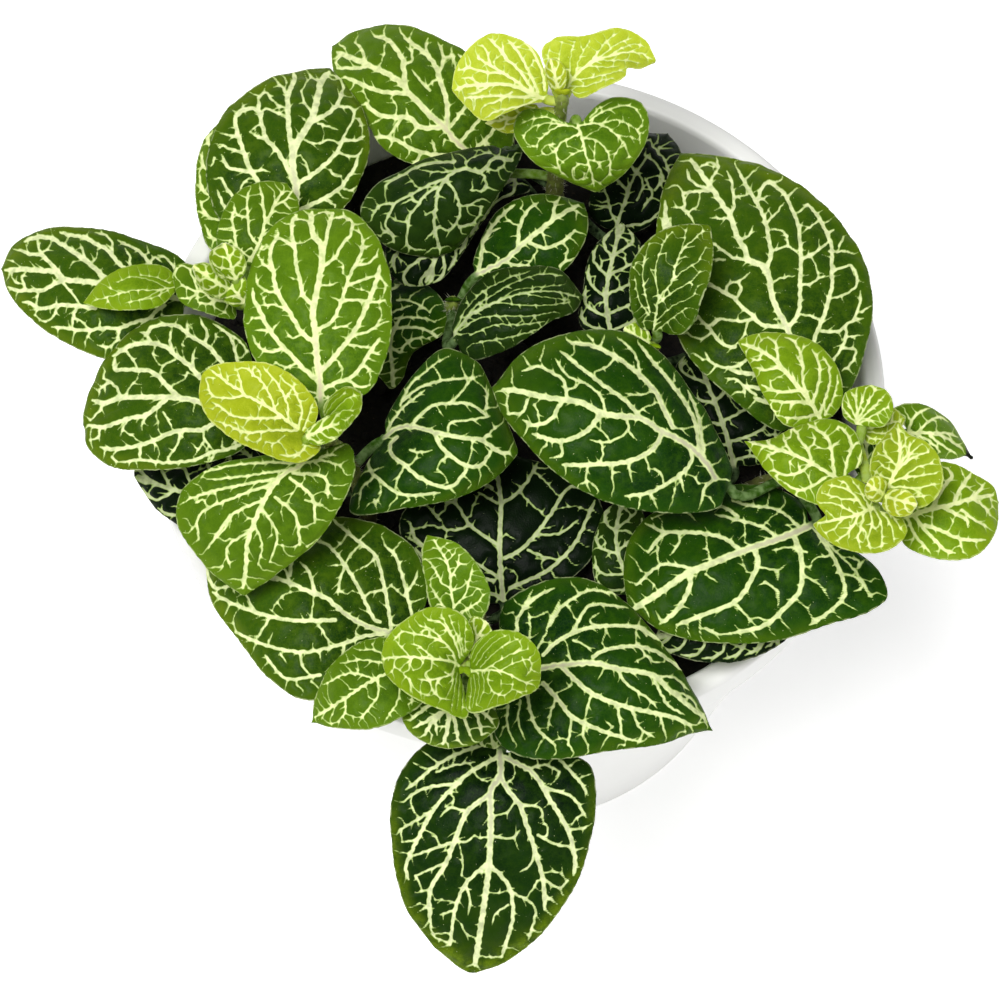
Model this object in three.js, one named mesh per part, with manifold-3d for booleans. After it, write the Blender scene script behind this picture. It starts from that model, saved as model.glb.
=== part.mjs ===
// A potted nerve plant: a white tapered pot, its soil, eight creeping stems and their leaves.
// Millimetres, +Z up, origin at the middle of the pot's flat base. The plan of the leaves is drawn
// in a view from the front and above, so each leaf's points are (across, down) in that view with a
// height over the rim, and place() turns them into the part's own frame.
import * as THREE from "three";
import { mergeVertices } from "three/addons/utils/BufferGeometryUtils.js";
import Module from "manifold-3d";

const wasm = await Module();
wasm.setup();

// ---- Driving dimensions -------------------------------------------------------------------
const RIM_DIAMETER = 120;
const POT_HEIGHT = 100;
const BASE_DIAMETER = 84;
const WALL = 2.2;
const FLOOR = 3;
const LIP_DEPTH = 9;
const LIP_OUT = 1.6;
const POT_SEGMENTS = 56;
const DRAIN_COUNT = 4;
const DRAIN_SEGMENTS = 16;
const DRAIN_DIAMETER = 9;
const DRAIN_CIRCLE_RADIUS = 24;

const SOIL_BELOW_RIM = 12;
const SOIL_MOUND = 3;
const CLEARANCE = 0.3;

const STEM_RADIUS = 1.5;
const STEM_TIP_RADIUS = 1;
const STEM_DEPTH_IN_SOIL = 6;
const STEM_STEPS = 9;
const BUD_LENGTH = 2;
const STALK_RADIUS = 0.8;
const BLADE_THICKNESS = 0.55;

// ---- The view in which the leaves are drawn ---------------------------------------------------
// Its frame is VIEW_SIZE units square. EYE is in millimetres, and FOCAL is the lens in view units.
const VIEW_SIZE = 1000;
const FOCAL = 3333.3;
const EYE = new THREE.Vector3(-2.76, -230.09, 591);
const PITCH = THREE.MathUtils.degToRad(66.81);
const VIEW_RIGHT = new THREE.Vector3(1, 0, 0);
const VIEW_UP = new THREE.Vector3(0, Math.sin(PITCH), Math.cos(PITCH));
const VIEW_AHEAD = new THREE.Vector3(0, Math.cos(PITCH), -Math.sin(PITCH));

// The point that is seen at (across, down) and lies at a height over the rim.
function place(across, down, height) {
  const ray = VIEW_AHEAD.clone()
    .addScaledVector(VIEW_RIGHT, (across - VIEW_SIZE / 2) / FOCAL)
    .addScaledVector(VIEW_UP, (VIEW_SIZE / 2 - down) / FOCAL);
  const reach = (POT_HEIGHT + height - EYE.z) / ray.z;
  return EYE.clone().addScaledVector(ray, reach);
}

// ---- The stems -----------------------------------------------------------------------------
// root is where a stem leaves the soil, in mm from the pot's axis. tip is seen at (across, down, height).
const STEMS = {
  stem_left: { root: [-24, -19], tip: [318, 431, 35] },
  stem_front: { root: [-6, -38], tip: [464, 668, 32] },
  stem_right: { root: [36, -16], tip: [884, 496, 29] },
  stem_far_left: { root: [-36, 14], tip: [238, 291, 25] },
  stem_back: { root: [6, 31], tip: [562, 93, 38] },
  stem_middle: { root: [20, 4], tip: [652, 346, 21] },
  stem_inner: { root: [-11, 14], tip: [453, 300, 8] },
  stem_right_inner: { root: [26, -20], tip: [690, 465, 8] },
};

// ---- The leaves ----------------------------------------------------------------------------
// spine: the midrib from base to tip as (across, down, height).
// left, right: the margins from base to tip as (across, down), left as seen from the base.
// rise: how far the left and right margins stand above the midrib, in mm, halfway along.
// stem, node: the stem that carries the leaf, and how far up it the stalk starts, from 0 to 1.
const LEAVES = {
  // On the left stem.
  left_leaf_tall: {
    stem: "stem_left", node: 0.8, rise: [-3, -3],
    spine: [[323, 405, 25], [313, 345, 29], [315, 290, 32], [322, 245, 32], [335, 208, 29]],
    left: [[283, 392], [252, 355], [244, 310], [250, 268], [272, 226], [300, 211]],
    right: [[368, 392], [389, 345], [392, 300], [385, 255], [366, 222], [350, 211]],
  },
  left_leaf_yellow: {
    stem: "stem_left", node: 0.97, rise: [2, 2],
    spine: [[303, 438, 34], [275, 415, 37], [245, 398, 38], [202, 374, 36]],
    left: [[298, 457], [268, 454], [235, 440], [208, 418], [199, 395]],
    right: [[318, 408], [300, 382], [270, 364], [235, 362], [212, 366]],
  },
  left_leaf_young: {
    stem: "stem_left", node: 0.95, rise: [3, 3],
    spine: [[331, 427, 37], [341, 415, 39], [350, 405, 41], [361, 393, 42]],
    left: [[324, 408], [336, 393], [350, 387]],
    right: [[341, 432], [353, 420], [361, 407]],
  },
  left_leaf_lower: {
    stem: "stem_left", node: 0.78, rise: [-2, -3],
    spine: [[309, 451, 29], [284, 475, 31], [264, 508, 31], [252, 545, 27], [244, 596, 20]],
    left: [[348, 444], [355, 468], [341, 505], [318, 540], [280, 572]],
    right: [[270, 454], [215, 466], [182, 490], [177, 520], [190, 548], [215, 575]],
  },
  left_leaf_outer: {
    stem: "stem_left", node: 0.6, rise: [-4, -4],
    spine: [[262, 408, 17], [200, 403, 21], [150, 400, 19], [83, 425, 12]],
    left: [[245, 447], [210, 462], [160, 470], [110, 466], [88, 448]],
    right: [[243, 340], [200, 316], [150, 320], [113, 350], [90, 390]],
  },
  left_leaf_inner: {
    stem: "stem_left", node: 0.6, rise: [-5, -5],
    spine: [[381, 438, 14], [430, 428, 21], [475, 440, 22], [518, 453, 18]],
    left: [[393, 405], [418, 370], [445, 348], [478, 362], [495, 393], [511, 430]],
    right: [[366, 465], [350, 512], [408, 508], [460, 497], [500, 474]],
  },
  left_leaf_under: {
    stem: "stem_left", node: 0.4, rise: [-3, -3],
    spine: [[270, 490, 6], [220, 492, 9], [175, 490, 8], [134, 474, 4]],
    left: [[250, 530], [215, 538], [176, 524], [150, 502]],
    right: [[255, 450], [215, 440], [170, 440], [140, 455]],
  },
  // On the front stem.
  front_leaf_yellow_left: {
    stem: "stem_front", node: 0.95, rise: [2, 2],
    spine: [[451, 664, 34], [436, 659, 36], [410, 657, 37], [381, 655, 34]],
    left: [[456, 714], [432, 706], [405, 690], [386, 672]],
    right: [[482, 632], [462, 612], [430, 609], [400, 620], [385, 638]],
  },
  front_leaf_yellow_right: {
    stem: "stem_front", node: 0.95, rise: [2, 2],
    spine: [[477, 669, 34], [495, 670, 36], [517, 676, 37], [541, 678, 34]],
    left: [[478, 643], [495, 631], [520, 634], [538, 652]],
    right: [[474, 711], [497, 705], [521, 697], [537, 688]],
  },
  front_leaf_up: {
    stem: "stem_front", node: 0.78, rise: [1, 1],
    spine: [[460, 628, 24], [452, 590, 27], [443, 560, 29], [427, 535, 28]],
    left: [[434, 612], [425, 578], [422, 550]],
    right: [[481, 620], [490, 596], [480, 568], [456, 543]],
  },
  front_leaf_side: {
    stem: "stem_front", node: 0.78, rise: [-1, -1],
    spine: [[418, 672, 22], [387, 674, 25], [350, 698, 25], [311, 723, 19]],
    left: [[424, 700], [400, 718], [370, 729], [335, 728]],
    right: [[415, 645], [385, 637], [355, 644], [330, 667], [315, 697]],
  },
  front_leaf_curled: {
    stem: "stem_front", node: 0.7, rise: [-2, -2],
    spine: [[462, 700, 22], [455, 722, 24], [448, 749, 20]],
    left: [[490, 704], [499, 724], [482, 741]],
    right: [[432, 699], [402, 713], [407, 729], [428, 744]],
  },
  front_leaf_left: {
    stem: "stem_front", node: 0.55, rise: [-4, -4],
    spine: [[392, 637, 12], [350, 615, 16], [310, 591, 18], [255, 572, 15], [203, 557, 10]],
    left: [[377, 665], [342, 692], [305, 700], [268, 678], [238, 640], [211, 600]],
    right: [[420, 615], [428, 590], [415, 550], [385, 527], [345, 517], [300, 520], [240, 535]],
  },
  front_leaf_right: {
    stem: "stem_front", node: 0.55, rise: [-4, -4],
    spine: [[508, 668, 12], [571, 665, 19], [635, 672, 20], [680, 698, 17], [713, 731, 11]],
    left: [[500, 640], [503, 606], [530, 587], [575, 577], [612, 590], [645, 622], [680, 668], [702, 706]],
    right: [[497, 700], [496, 738], [520, 756], [560, 759], [605, 752], [660, 745], [690, 735]],
  },
  front_leaf_hanging: {
    stem: "stem_front", node: 0.45, rise: [-3, -3],
    spine: [[502, 746, 7], [493, 800, 9], [490, 860, 6], [483, 920, -1], [473, 973, -9]],
    left: [[560, 752], [590, 765], [596, 800], [588, 850], [570, 895], [540, 935], [505, 962]],
    right: [[440, 742], [408, 765], [391, 805], [393, 860], [405, 905], [430, 942], [455, 965]],
  },
  front_leaf_deep: {
    stem: "stem_front", node: 0.2, rise: [-1, -1],
    spine: [[505, 607, -3], [502, 560, 1], [500, 510, 3], [497, 452, 3]],
    left: [[455, 592], [412, 560], [400, 520], [430, 485], [465, 465]],
    right: [[550, 592], [590, 560], [604, 520], [590, 485], [540, 462]],
  },
  // On the right stem.
  right_leaf_top: {
    stem: "stem_right", node: 0.95, rise: [2, 2],
    spine: [[891, 481, 32], [895, 465, 34], [897, 445, 35], [897, 423, 34]],
    left: [[873, 478], [872, 455], [883, 432]],
    right: [[915, 495], [940, 480], [938, 450], [917, 427]],
  },
  right_leaf_fore: {
    stem: "stem_right", node: 0.95, rise: [1, 1],
    spine: [[873, 505, 31], [858, 513, 33], [838, 520, 33], [814, 526, 30]],
    left: [[905, 520], [905, 540], [870, 553], [835, 545]],
    right: [[868, 490], [845, 476], [822, 485], [813, 506]],
  },
  right_leaf_fore_left: {
    stem: "stem_right", node: 0.84, rise: [-2, -2],
    spine: [[848, 478, 28], [820, 464, 30], [785, 448, 30], [745, 438, 26]],
    left: [[835, 506], [800, 498], [775, 475], [760, 455]],
    right: [[861, 462], [853, 433], [825, 420], [785, 427], [760, 434]],
  },
  right_leaf_upper_left: {
    stem: "stem_right", node: 0.75, rise: [-2, -2],
    spine: [[822, 426, 21], [800, 390, 26], [775, 362, 27], [738, 341, 24]],
    left: [[785, 425], [766, 400], [752, 370]],
    right: [[842, 402], [836, 364], [806, 338], [765, 332]],
  },
  right_leaf_round: {
    stem: "stem_right", node: 0.78, rise: [1, 1],
    spine: [[862, 427, 29], [863, 407, 31], [872, 385, 31]],
    left: [[844, 416], [845, 394], [858, 387]],
    right: [[884, 426], [893, 407], [887, 391]],
  },
  right_leaf_small: {
    stem: "stem_right", node: 0.91, rise: [1, 1],
    spine: [[868, 435, 25], [885, 431, 27], [905, 423, 27]],
    left: [[878, 420], [895, 415]],
    right: [[873, 443], [895, 440]],
  },
  right_leaf_outer: {
    stem: "stem_right", node: 0.86, rise: [-2, -2],
    spine: [[905, 432, 20], [933, 434, 23], [967, 452, 19]],
    left: [[900, 409], [920, 404], [945, 414], [962, 434]],
    right: [[908, 447], [930, 457], [950, 460]],
  },
  right_leaf_side: {
    stem: "stem_right", node: 0.9, rise: [-1, -1],
    spine: [[902, 517, 24], [935, 508, 27], [965, 503, 27], [999, 502, 22]],
    left: [[915, 492], [938, 462], [972, 472], [993, 487]],
    right: [[903, 543], [940, 559], [975, 556], [995, 533]],
  },
  right_leaf_low: {
    stem: "stem_right", node: 0.6, rise: [-4, -6],
    spine: [[815, 523, 10], [779, 539, 13], [745, 551, 14], [689, 572, 14], [627, 604, 10]],
    left: [[850, 547], [880, 572], [887, 597], [868, 612], [830, 624], [780, 640], [715, 643], [662, 631]],
    right: [[805, 505], [775, 488], [735, 484], [690, 500], [650, 514], [632, 535], [624, 572]],
  },
  right_leaf_large: {
    stem: "stem_right", node: 0.55, rise: [-4, -4],
    spine: [[805, 430, 10], [795, 370, 17], [787, 328, 19], [768, 270, 19], [735, 218, 17], [680, 153, 10]],
    left: [[775, 430], [728, 395], [688, 355], [668, 310], [656, 265], [657, 220], [666, 180]],
    right: [[850, 390], [867, 345], [873, 310], [865, 262], [845, 228], [808, 190], [760, 165], [715, 155]],
  },
  right_leaf_under: {
    stem: "stem_right", node: 0.3, rise: [-3, -3],
    spine: [[795, 600, 4], [740, 615, 8], [690, 628, 8], [652, 640, 5]],
    left: [[790, 635], [745, 660], [700, 662], [668, 652]],
    right: [[770, 585], [720, 590], [672, 610]],
  },
  // On the far left stem.
  far_left_leaf_outer: {
    stem: "stem_far_left", node: 0.75, rise: [-4, -4],
    spine: [[190, 300, 11], [100, 283, 16], [45, 271, 13], [1, 269, 8]],
    left: [[175, 328], [120, 360], [70, 345], [30, 318], [8, 292]],
    right: [[185, 262], [150, 243], [100, 230], [50, 228], [14, 245]],
  },
  far_left_leaf_small: {
    stem: "stem_far_left", node: 0.88, rise: [-1, -1],
    spine: [[178, 284, 19], [130, 289, 22], [83, 303, 18]],
    left: [[160, 306], [133, 310], [104, 309]],
    right: [[166, 267], [135, 264], [104, 278]],
  },
  far_left_leaf_fore: {
    stem: "stem_far_left", node: 0.8, rise: [-1, -1],
    spine: [[238, 302, 20], [205, 292, 23], [172, 276, 22]],
    left: [[235, 318], [203, 312], [180, 301]],
    right: [[222, 280], [198, 266], [178, 264]],
  },
  far_left_leaf_up: {
    stem: "stem_far_left", node: 0.8, rise: [-1, -1],
    spine: [[245, 268, 20], [256, 240, 23], [270, 212, 24], [287, 183, 23]],
    left: [[218, 250], [222, 215], [240, 190], [265, 181]],
    right: [[264, 258], [287, 235], [299, 203]],
  },
  far_left_leaf_large: {
    stem: "stem_far_left", node: 0.6, rise: [-4, -4],
    spine: [[278, 240, 10], [296, 190, 17], [302, 145, 20], [318, 105, 18], [330, 68, 12]],
    left: [[240, 242], [210, 200], [208, 150], [228, 108], [268, 80], [300, 71]],
    right: [[330, 222], [360, 182], [370, 140], [362, 108], [345, 84]],
  },
  far_left_leaf_behind: {
    stem: "stem_far_left", node: 0.45, rise: [-3, -3],
    spine: [[245, 240, 4], [240, 190, 8], [232, 150, 8], [222, 120, 5]],
    left: [[212, 250], [198, 215], [196, 170], [204, 140]],
    right: [[270, 225], [275, 180], [255, 140]],
  },
  // On the back stem.
  back_leaf_yellow_left: {
    stem: "stem_back", node: 0.96, rise: [2, 2],
    spine: [[547, 99, 37], [520, 84, 40], [490, 78, 41], [453, 90, 38]],
    left: [[530, 112], [500, 119], [474, 108]],
    right: [[550, 66], [533, 44], [500, 34], [470, 48], [457, 70]],
  },
  back_leaf_yellow_right: {
    stem: "stem_back", node: 0.96, rise: [2, 2],
    spine: [[572, 89, 37], [594, 67, 40], [625, 52, 41], [664, 62, 38]],
    left: [[552, 72], [551, 42], [588, 36], [618, 29], [648, 40]],
    right: [[592, 96], [617, 87], [640, 71]],
  },
  back_leaf_heart: {
    stem: "stem_back", node: 0.78, rise: [-2, -2],
    spine: [[578, 122, 36], [583, 145, 36], [590, 168, 34], [597, 192, 28]],
    left: [[596, 106], [615, 97], [641, 102], [649, 128], [638, 158], [617, 180]],
    right: [[560, 120], [545, 110], [520, 113], [514, 134], [535, 163], [570, 183]],
  },
  back_leaf_far: {
    stem: "stem_back", node: 0.55, rise: [-4, -4],
    spine: [[480, 160, 11], [430, 108, 17], [380, 68, 16], [332, 46, 9]],
    left: [[430, 168], [385, 150], [360, 110], [335, 78]],
    right: [[512, 148], [505, 100], [478, 62], [440, 38], [395, 24], [352, 33]],
  },
  back_leaf_arching: {
    stem: "stem_back", node: 0.7, rise: [-5, -5],
    spine: [[508, 148, 17], [470, 166, 22], [447, 200, 21], [437, 258, 12]],
    left: [[522, 150], [515, 170], [498, 195], [478, 222], [455, 250]],
    right: [[460, 150], [410, 165], [372, 190], [361, 214], [375, 238], [400, 253]],
  },
  back_leaf_right: {
    stem: "stem_back", node: 0.45, rise: [-3, -3],
    spine: [[616, 235, 5], [635, 200, 10], [650, 165, 11], [668, 133, 7]],
    left: [[590, 215], [598, 170], [630, 135]],
    right: [[650, 225], [678, 190], [682, 155]],
  },
  back_leaf_low: {
    stem: "stem_back", node: 0.3, rise: [-2, -2],
    spine: [[512, 172, -2], [455, 128, 3], [395, 82, 4]],
    left: [[455, 165], [405, 132], [385, 100]],
    right: [[512, 120], [480, 80], [430, 62]],
  },
  // On the middle stem.
  middle_leaf_upright: {
    stem: "stem_middle", node: 0.95, rise: [2, 2],
    spine: [[657, 334, 23], [656, 298, 27], [672, 262, 30], [710, 226, 29]],
    left: [[638, 325], [629, 290], [638, 252], [665, 229], [692, 224]],
    right: [[684, 333], [702, 300], [713, 258]],
  },
  middle_leaf_shaded: {
    stem: "stem_middle", node: 0.6, rise: [-2, -2],
    spine: [[612, 340, 7], [606, 300, 11], [612, 260, 12], [622, 222, 9]],
    left: [[580, 325], [583, 290], [592, 250]],
    right: [[640, 325], [643, 285], [642, 245]],
  },
  middle_leaf_low: {
    stem: "stem_middle", node: 0.45, rise: [-2, -2],
    spine: [[700, 345, -2], [745, 300, 3], [812, 232, 3]],
    left: [[698, 290], [720, 235], [770, 205]],
    right: [[755, 350], [815, 315], [835, 260]],
  },
  // On the inner stem, deep between the others, with one under them on the back stem.
  inner_leaf_ribbed: {
    stem: "stem_inner", node: 0.9, rise: [-4, -4],
    spine: [[452, 341, 11], [500, 302, 17], [545, 290, 18], [584, 297, 12]],
    left: [[462, 300], [485, 276], [520, 267], [560, 271]],
    right: [[470, 360], [510, 348], [548, 324], [575, 310]],
  },
  inner_leaf_back: {
    stem: "stem_inner", node: 0.75, rise: [-3, -3],
    spine: [[474, 276, 7], [520, 242, 13], [552, 222, 14], [584, 203, 12]],
    left: [[478, 245], [497, 212], [532, 195], [566, 197]],
    right: [[510, 285], [560, 274], [583, 245], [588, 220]],
  },
  inner_leaf_behind: {
    stem: "stem_inner", node: 0.7, rise: [-3, -3],
    spine: [[398, 280, 2], [393, 315, 6], [391, 350, 7], [392, 389, 2]],
    left: [[425, 284], [445, 305], [444, 332], [412, 355], [402, 378]],
    right: [[365, 290], [352, 320], [362, 350], [378, 375]],
  },
  inner_leaf_under: {
    stem: "stem_back", node: 0.5, rise: [-3, -3],
    spine: [[520, 172, 8], [475, 205, 13], [445, 240, 13], [424, 286, 8]],
    left: [[530, 190], [503, 200], [482, 222], [462, 255], [442, 280]],
    right: [[450, 190], [405, 220], [385, 255], [400, 284]],
  },
  // In the middle, on the right stem and the right inner stem.
  centre_leaf: {
    stem: "stem_right", node: 0.57, rise: [-5, -5],
    spine: [[734, 490, 17], [702, 457, 23], [650, 422, 28], [594, 406, 30], [540, 396, 29], [491, 388, 25]],
    left: [[718, 508], [665, 513], [610, 503], [562, 478], [527, 445], [501, 412]],
    right: [[733, 470], [716, 430], [690, 388], [660, 352], [625, 332], [590, 330], [550, 338], [515, 358]],
  },
  centre_leaf_shaded: {
    stem: "stem_right_inner", node: 0.7, rise: [-2, -2],
    spine: [[735, 470, 0], [725, 430, 4], [708, 385, 5], [693, 345, 3]],
    left: [[700, 470], [683, 420], [675, 370]],
    right: [[780, 455], [775, 410], [745, 370], [715, 345]],
  },
  centre_leaf_narrow: {
    stem: "stem_right_inner", node: 0.5, rise: [-2, -2],
    spine: [[645, 592, -1], [622, 565, 3], [616, 530, 4], [625, 495, 2]],
    left: [[600, 590], [592, 550], [603, 515]],
    right: [[655, 580], [650, 540], [642, 510]],
  },
};

// The other leaves are old and dark.
const YOUNG_LEAVES = [
  "left_leaf_yellow", "left_leaf_young", "front_leaf_yellow_left", "front_leaf_yellow_right",
  "right_leaf_top", "right_leaf_fore", "back_leaf_yellow_left", "back_leaf_yellow_right",
];
const MIDDLE_LEAVES = [
  "left_leaf_tall", "left_leaf_lower", "front_leaf_up", "front_leaf_side", "front_leaf_curled",
  "right_leaf_fore_left", "right_leaf_upper_left", "right_leaf_round", "right_leaf_small",
  "right_leaf_outer", "right_leaf_side", "far_left_leaf_small", "far_left_leaf_fore",
  "far_left_leaf_up", "back_leaf_heart", "middle_leaf_upright",
];

// Baby leaves that are still part of a stem's growing tip, drawn as the leaves are.
const BUD_LEAVES = [
  {
    stem: "stem_far_left", node: 0.95, rise: [2, 2],
    spine: [[236, 281, 28], [230, 262, 31], [224, 243, 32]],
    left: [[216, 274], [210, 254]],
    right: [[246, 268], [240, 251]],
  },
  {
    stem: "stem_far_left", node: 0.93, rise: [2, 2],
    spine: [[230, 290, 27], [212, 280, 30], [193, 266, 31]],
    left: [[222, 299], [201, 288]],
    right: [[224, 276], [206, 263]],
  },
];

// ---- Geometry helpers ----------------------------------------------------------------------
// A closed body through rings of equally many points. Each ring runs clockwise as seen from
// before it, and the body closes on the points first and last.
function loft(first, rings, last) {
  const count = rings[0].length;
  const faces = [];
  rings.slice(1).forEach((_, r) => {
    for (let i = 0; i < count; i++) {
      const a = 1 + r * count + i;
      const b = 1 + r * count + ((i + 1) % count);
      faces.push(a, b, b + count, a, b + count, a + count);
    }
  });
  const end = 1 + (rings.length - 1) * count;
  for (let i = 0; i < count; i++) {
    const next = (i + 1) % count;
    faces.push(0, 1 + next, 1 + i);
    faces.push(end + count, end + i, end + next);
  }
  const geometry = new THREE.BufferGeometry().setFromPoints([first, ...rings.flat(), last]);
  geometry.setIndex(faces);
  return geometry;
}

const RING_SIDES = 8;

// A ring of RING_SIDES points about centre: left, over the top to the right, and back below.
function roundRing(centre, ahead, across, radius) {
  const up = across.clone().cross(ahead).normalize();
  const side = ahead.clone().cross(up).normalize();
  return Array.from({ length: RING_SIDES }, (_, k) => {
    const turn = (k / RING_SIDES) * 2 * Math.PI;
    return centre.clone()
      .addScaledVector(side, -Math.cos(turn) * radius)
      .addScaledVector(up, Math.sin(turn) * radius);
  });
}

function solidOf(geometry) {
  const plain = new THREE.BufferGeometry();
  plain.setAttribute("position", geometry.getAttribute("position"));
  plain.setIndex(geometry.index);
  const merged = mergeVertices(plain, 1e-3);
  return new wasm.Manifold(new wasm.Mesh({
    numProp: 3,
    vertProperties: new Float32Array(merged.getAttribute("position").array),
    triVerts: new Uint32Array(merged.index.array),
  }));
}

function geometryOf(solid) {
  const mesh = solid.getMesh();
  const geometry = new THREE.BufferGeometry();
  geometry.setAttribute("position", new THREE.BufferAttribute(mesh.vertProperties, 3));
  geometry.setIndex(new THREE.BufferAttribute(mesh.triVerts, 1));
  return geometry;
}

function subtract(geometry, cutters) {
  const cut = cutters.reduce((solid, cutter) => solid.subtract(solidOf(cutter)), solidOf(geometry));
  return geometryOf(cut);
}

function lathe(profile) {
  const geometry = new THREE.LatheGeometry(profile, POT_SEGMENTS);
  return geometry.rotateX(Math.PI / 2);
}

// ---- Materials -----------------------------------------------------------------------------
function matte(color) {
  return new THREE.MeshStandardMaterial({ color, roughness: 0.55, metalness: 0 });
}

const MATERIALS = {
  pot: new THREE.MeshStandardMaterial({ color: 0xf4f4f1, roughness: 0.25, metalness: 0 }),
  soil: new THREE.MeshStandardMaterial({ color: 0x2b2018, roughness: 0.95, metalness: 0 }),
  stem: matte(0x7e8f4a),
  oldLeaf: matte(0x24471a),
  middleLeaf: matte(0x55801f),
  youngLeaf: matte(0xa9b832),
};

// ---- The pot and the soil ------------------------------------------------------------------
const RIM_RADIUS = RIM_DIAMETER / 2;
const BODY_TOP_RADIUS = RIM_RADIUS - LIP_OUT;
const BASE_RADIUS = BASE_DIAMETER / 2;
const SOIL_TOP = POT_HEIGHT - SOIL_BELOW_RIM;

// The radius of the pot's inner wall at a height.
function innerRadius(height) {
  const outer = BASE_RADIUS + ((BODY_TOP_RADIUS - BASE_RADIUS) * height) / POT_HEIGHT;
  return outer - WALL;
}

function potGeometry() {
  const lipBottom = POT_HEIGHT - LIP_DEPTH;
  const lipBack = innerRadius(lipBottom - LIP_OUT) + WALL;
  const rimInner = innerRadius(POT_HEIGHT);
  const profile = [
    [0, 0],
    [BASE_RADIUS - 1.2, 0],
    [BASE_RADIUS, 1.2],
    [lipBack, lipBottom - LIP_OUT],
    [RIM_RADIUS - 0.4, lipBottom],
    [RIM_RADIUS, lipBottom + 1],
    [RIM_RADIUS, POT_HEIGHT - 1],
    [RIM_RADIUS - 0.6, POT_HEIGHT - 0.2],
    [RIM_RADIUS - 1.4, POT_HEIGHT],
    [rimInner + 0.5, POT_HEIGHT - 0.2],
    [rimInner, POT_HEIGHT - 1],
    [innerRadius(FLOOR), FLOOR],
    [0, FLOOR],
  ].map(([radius, height]) => new THREE.Vector2(radius, height));
  const drainRadius = DRAIN_DIAMETER / 2;
  const holes = Array.from({ length: DRAIN_COUNT }, (_, k) => {
    const turn = ((k + 0.5) / DRAIN_COUNT) * 2 * Math.PI;
    const hole = new THREE.CylinderGeometry(drainRadius, drainRadius, 4 * FLOOR, DRAIN_SEGMENTS);
    hole.rotateX(Math.PI / 2);
    return hole.translate(DRAIN_CIRCLE_RADIUS * Math.cos(turn), DRAIN_CIRCLE_RADIUS * Math.sin(turn), 0);
  });
  return subtract(lathe(profile), holes);
}

function soilGeometry() {
  const bottom = FLOOR + CLEARANCE;
  const profile = [
    [0, bottom],
    [innerRadius(bottom) - CLEARANCE, bottom],
    [innerRadius(SOIL_TOP) - CLEARANCE, SOIL_TOP],
    [innerRadius(SOIL_TOP) * 0.6, SOIL_TOP + SOIL_MOUND * 0.75],
    [0, SOIL_TOP + SOIL_MOUND],
  ].map(([radius, height]) => new THREE.Vector2(radius, height));
  const sockets = Object.values(STEMS).map((stem) => stemGeometry(stem, CLEARANCE));
  return subtract(lathe(profile), sockets);
}

// ---- The stems -----------------------------------------------------------------------------
// A stem rises out of the soil and leans over towards its tip.
function stemCurve({ root, tip }) {
  const [x, y] = root;
  const bottom = new THREE.Vector3(x, y, SOIL_TOP - STEM_DEPTH_IN_SOIL);
  const top = place(...tip);
  const length = bottom.distanceTo(top);
  const risen = bottom.clone().add(new THREE.Vector3(0, 0, 0.55 * length));
  const leaning = top.clone().lerp(bottom, 0.3).add(new THREE.Vector3(0, 0, 0.12 * length));
  return new THREE.CubicBezierCurve3(bottom, risen, leaning, top);
}

function stemRadius(share) {
  return THREE.MathUtils.lerp(STEM_RADIUS, STEM_TIP_RADIUS, share);
}

// The stem with its bud at the tip, grown by extra all round for the socket in the soil.
function stemGeometry(stem, extra = 0) {
  const curve = stemCurve(stem);
  const foot = curve.getPointAt(0).addScaledVector(curve.getTangentAt(0), -extra);
  const rings = Array.from({ length: STEM_STEPS + 1 }, (_, k) => {
    const share = k / STEM_STEPS;
    const centre = k === 0 ? foot : curve.getPointAt(share);
    return roundRing(centre, curve.getTangentAt(share), VIEW_RIGHT, stemRadius(share) + extra);
  });
  const ahead = curve.getTangentAt(1);
  const top = curve.getPointAt(1);
  const budMiddle = top.clone().addScaledVector(ahead, 0.6 * BUD_LENGTH);
  rings.push(roundRing(budMiddle, ahead, VIEW_RIGHT, 0.6 * STEM_TIP_RADIUS + extra));
  return loft(foot, rings, top.clone().addScaledVector(ahead, BUD_LENGTH + extra));
}

// ---- The leaves ----------------------------------------------------------------------------
const VIEW_UNIT_AT_RIM = 0.162; // what one unit of the view measures at the rim, in mm
const HALF_STALK_IN_VIEW = STALK_RADIUS / VIEW_UNIT_AT_RIM;
const STATIONS = [0, 0.05, 0.14, 0.27, 0.41, 0.55, 0.69, 0.82, 0.93];
const SMALL_LEAF_STATIONS = [0, 0.08, 0.3, 0.55, 0.78, 0.93];
const SMALL_LEAF_LENGTH = 16;
const STALK_SHARES = [0, 0.4, 0.75];
const NEAR_BASE = 0.06; // the share of the midrib that gives a leaf's direction at its base
const BLADE_COLUMNS = [-0.5, 0, 0.5];
const EDGE_CURL = 1.7;
const ARCH_FALL = 0.8;

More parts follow.
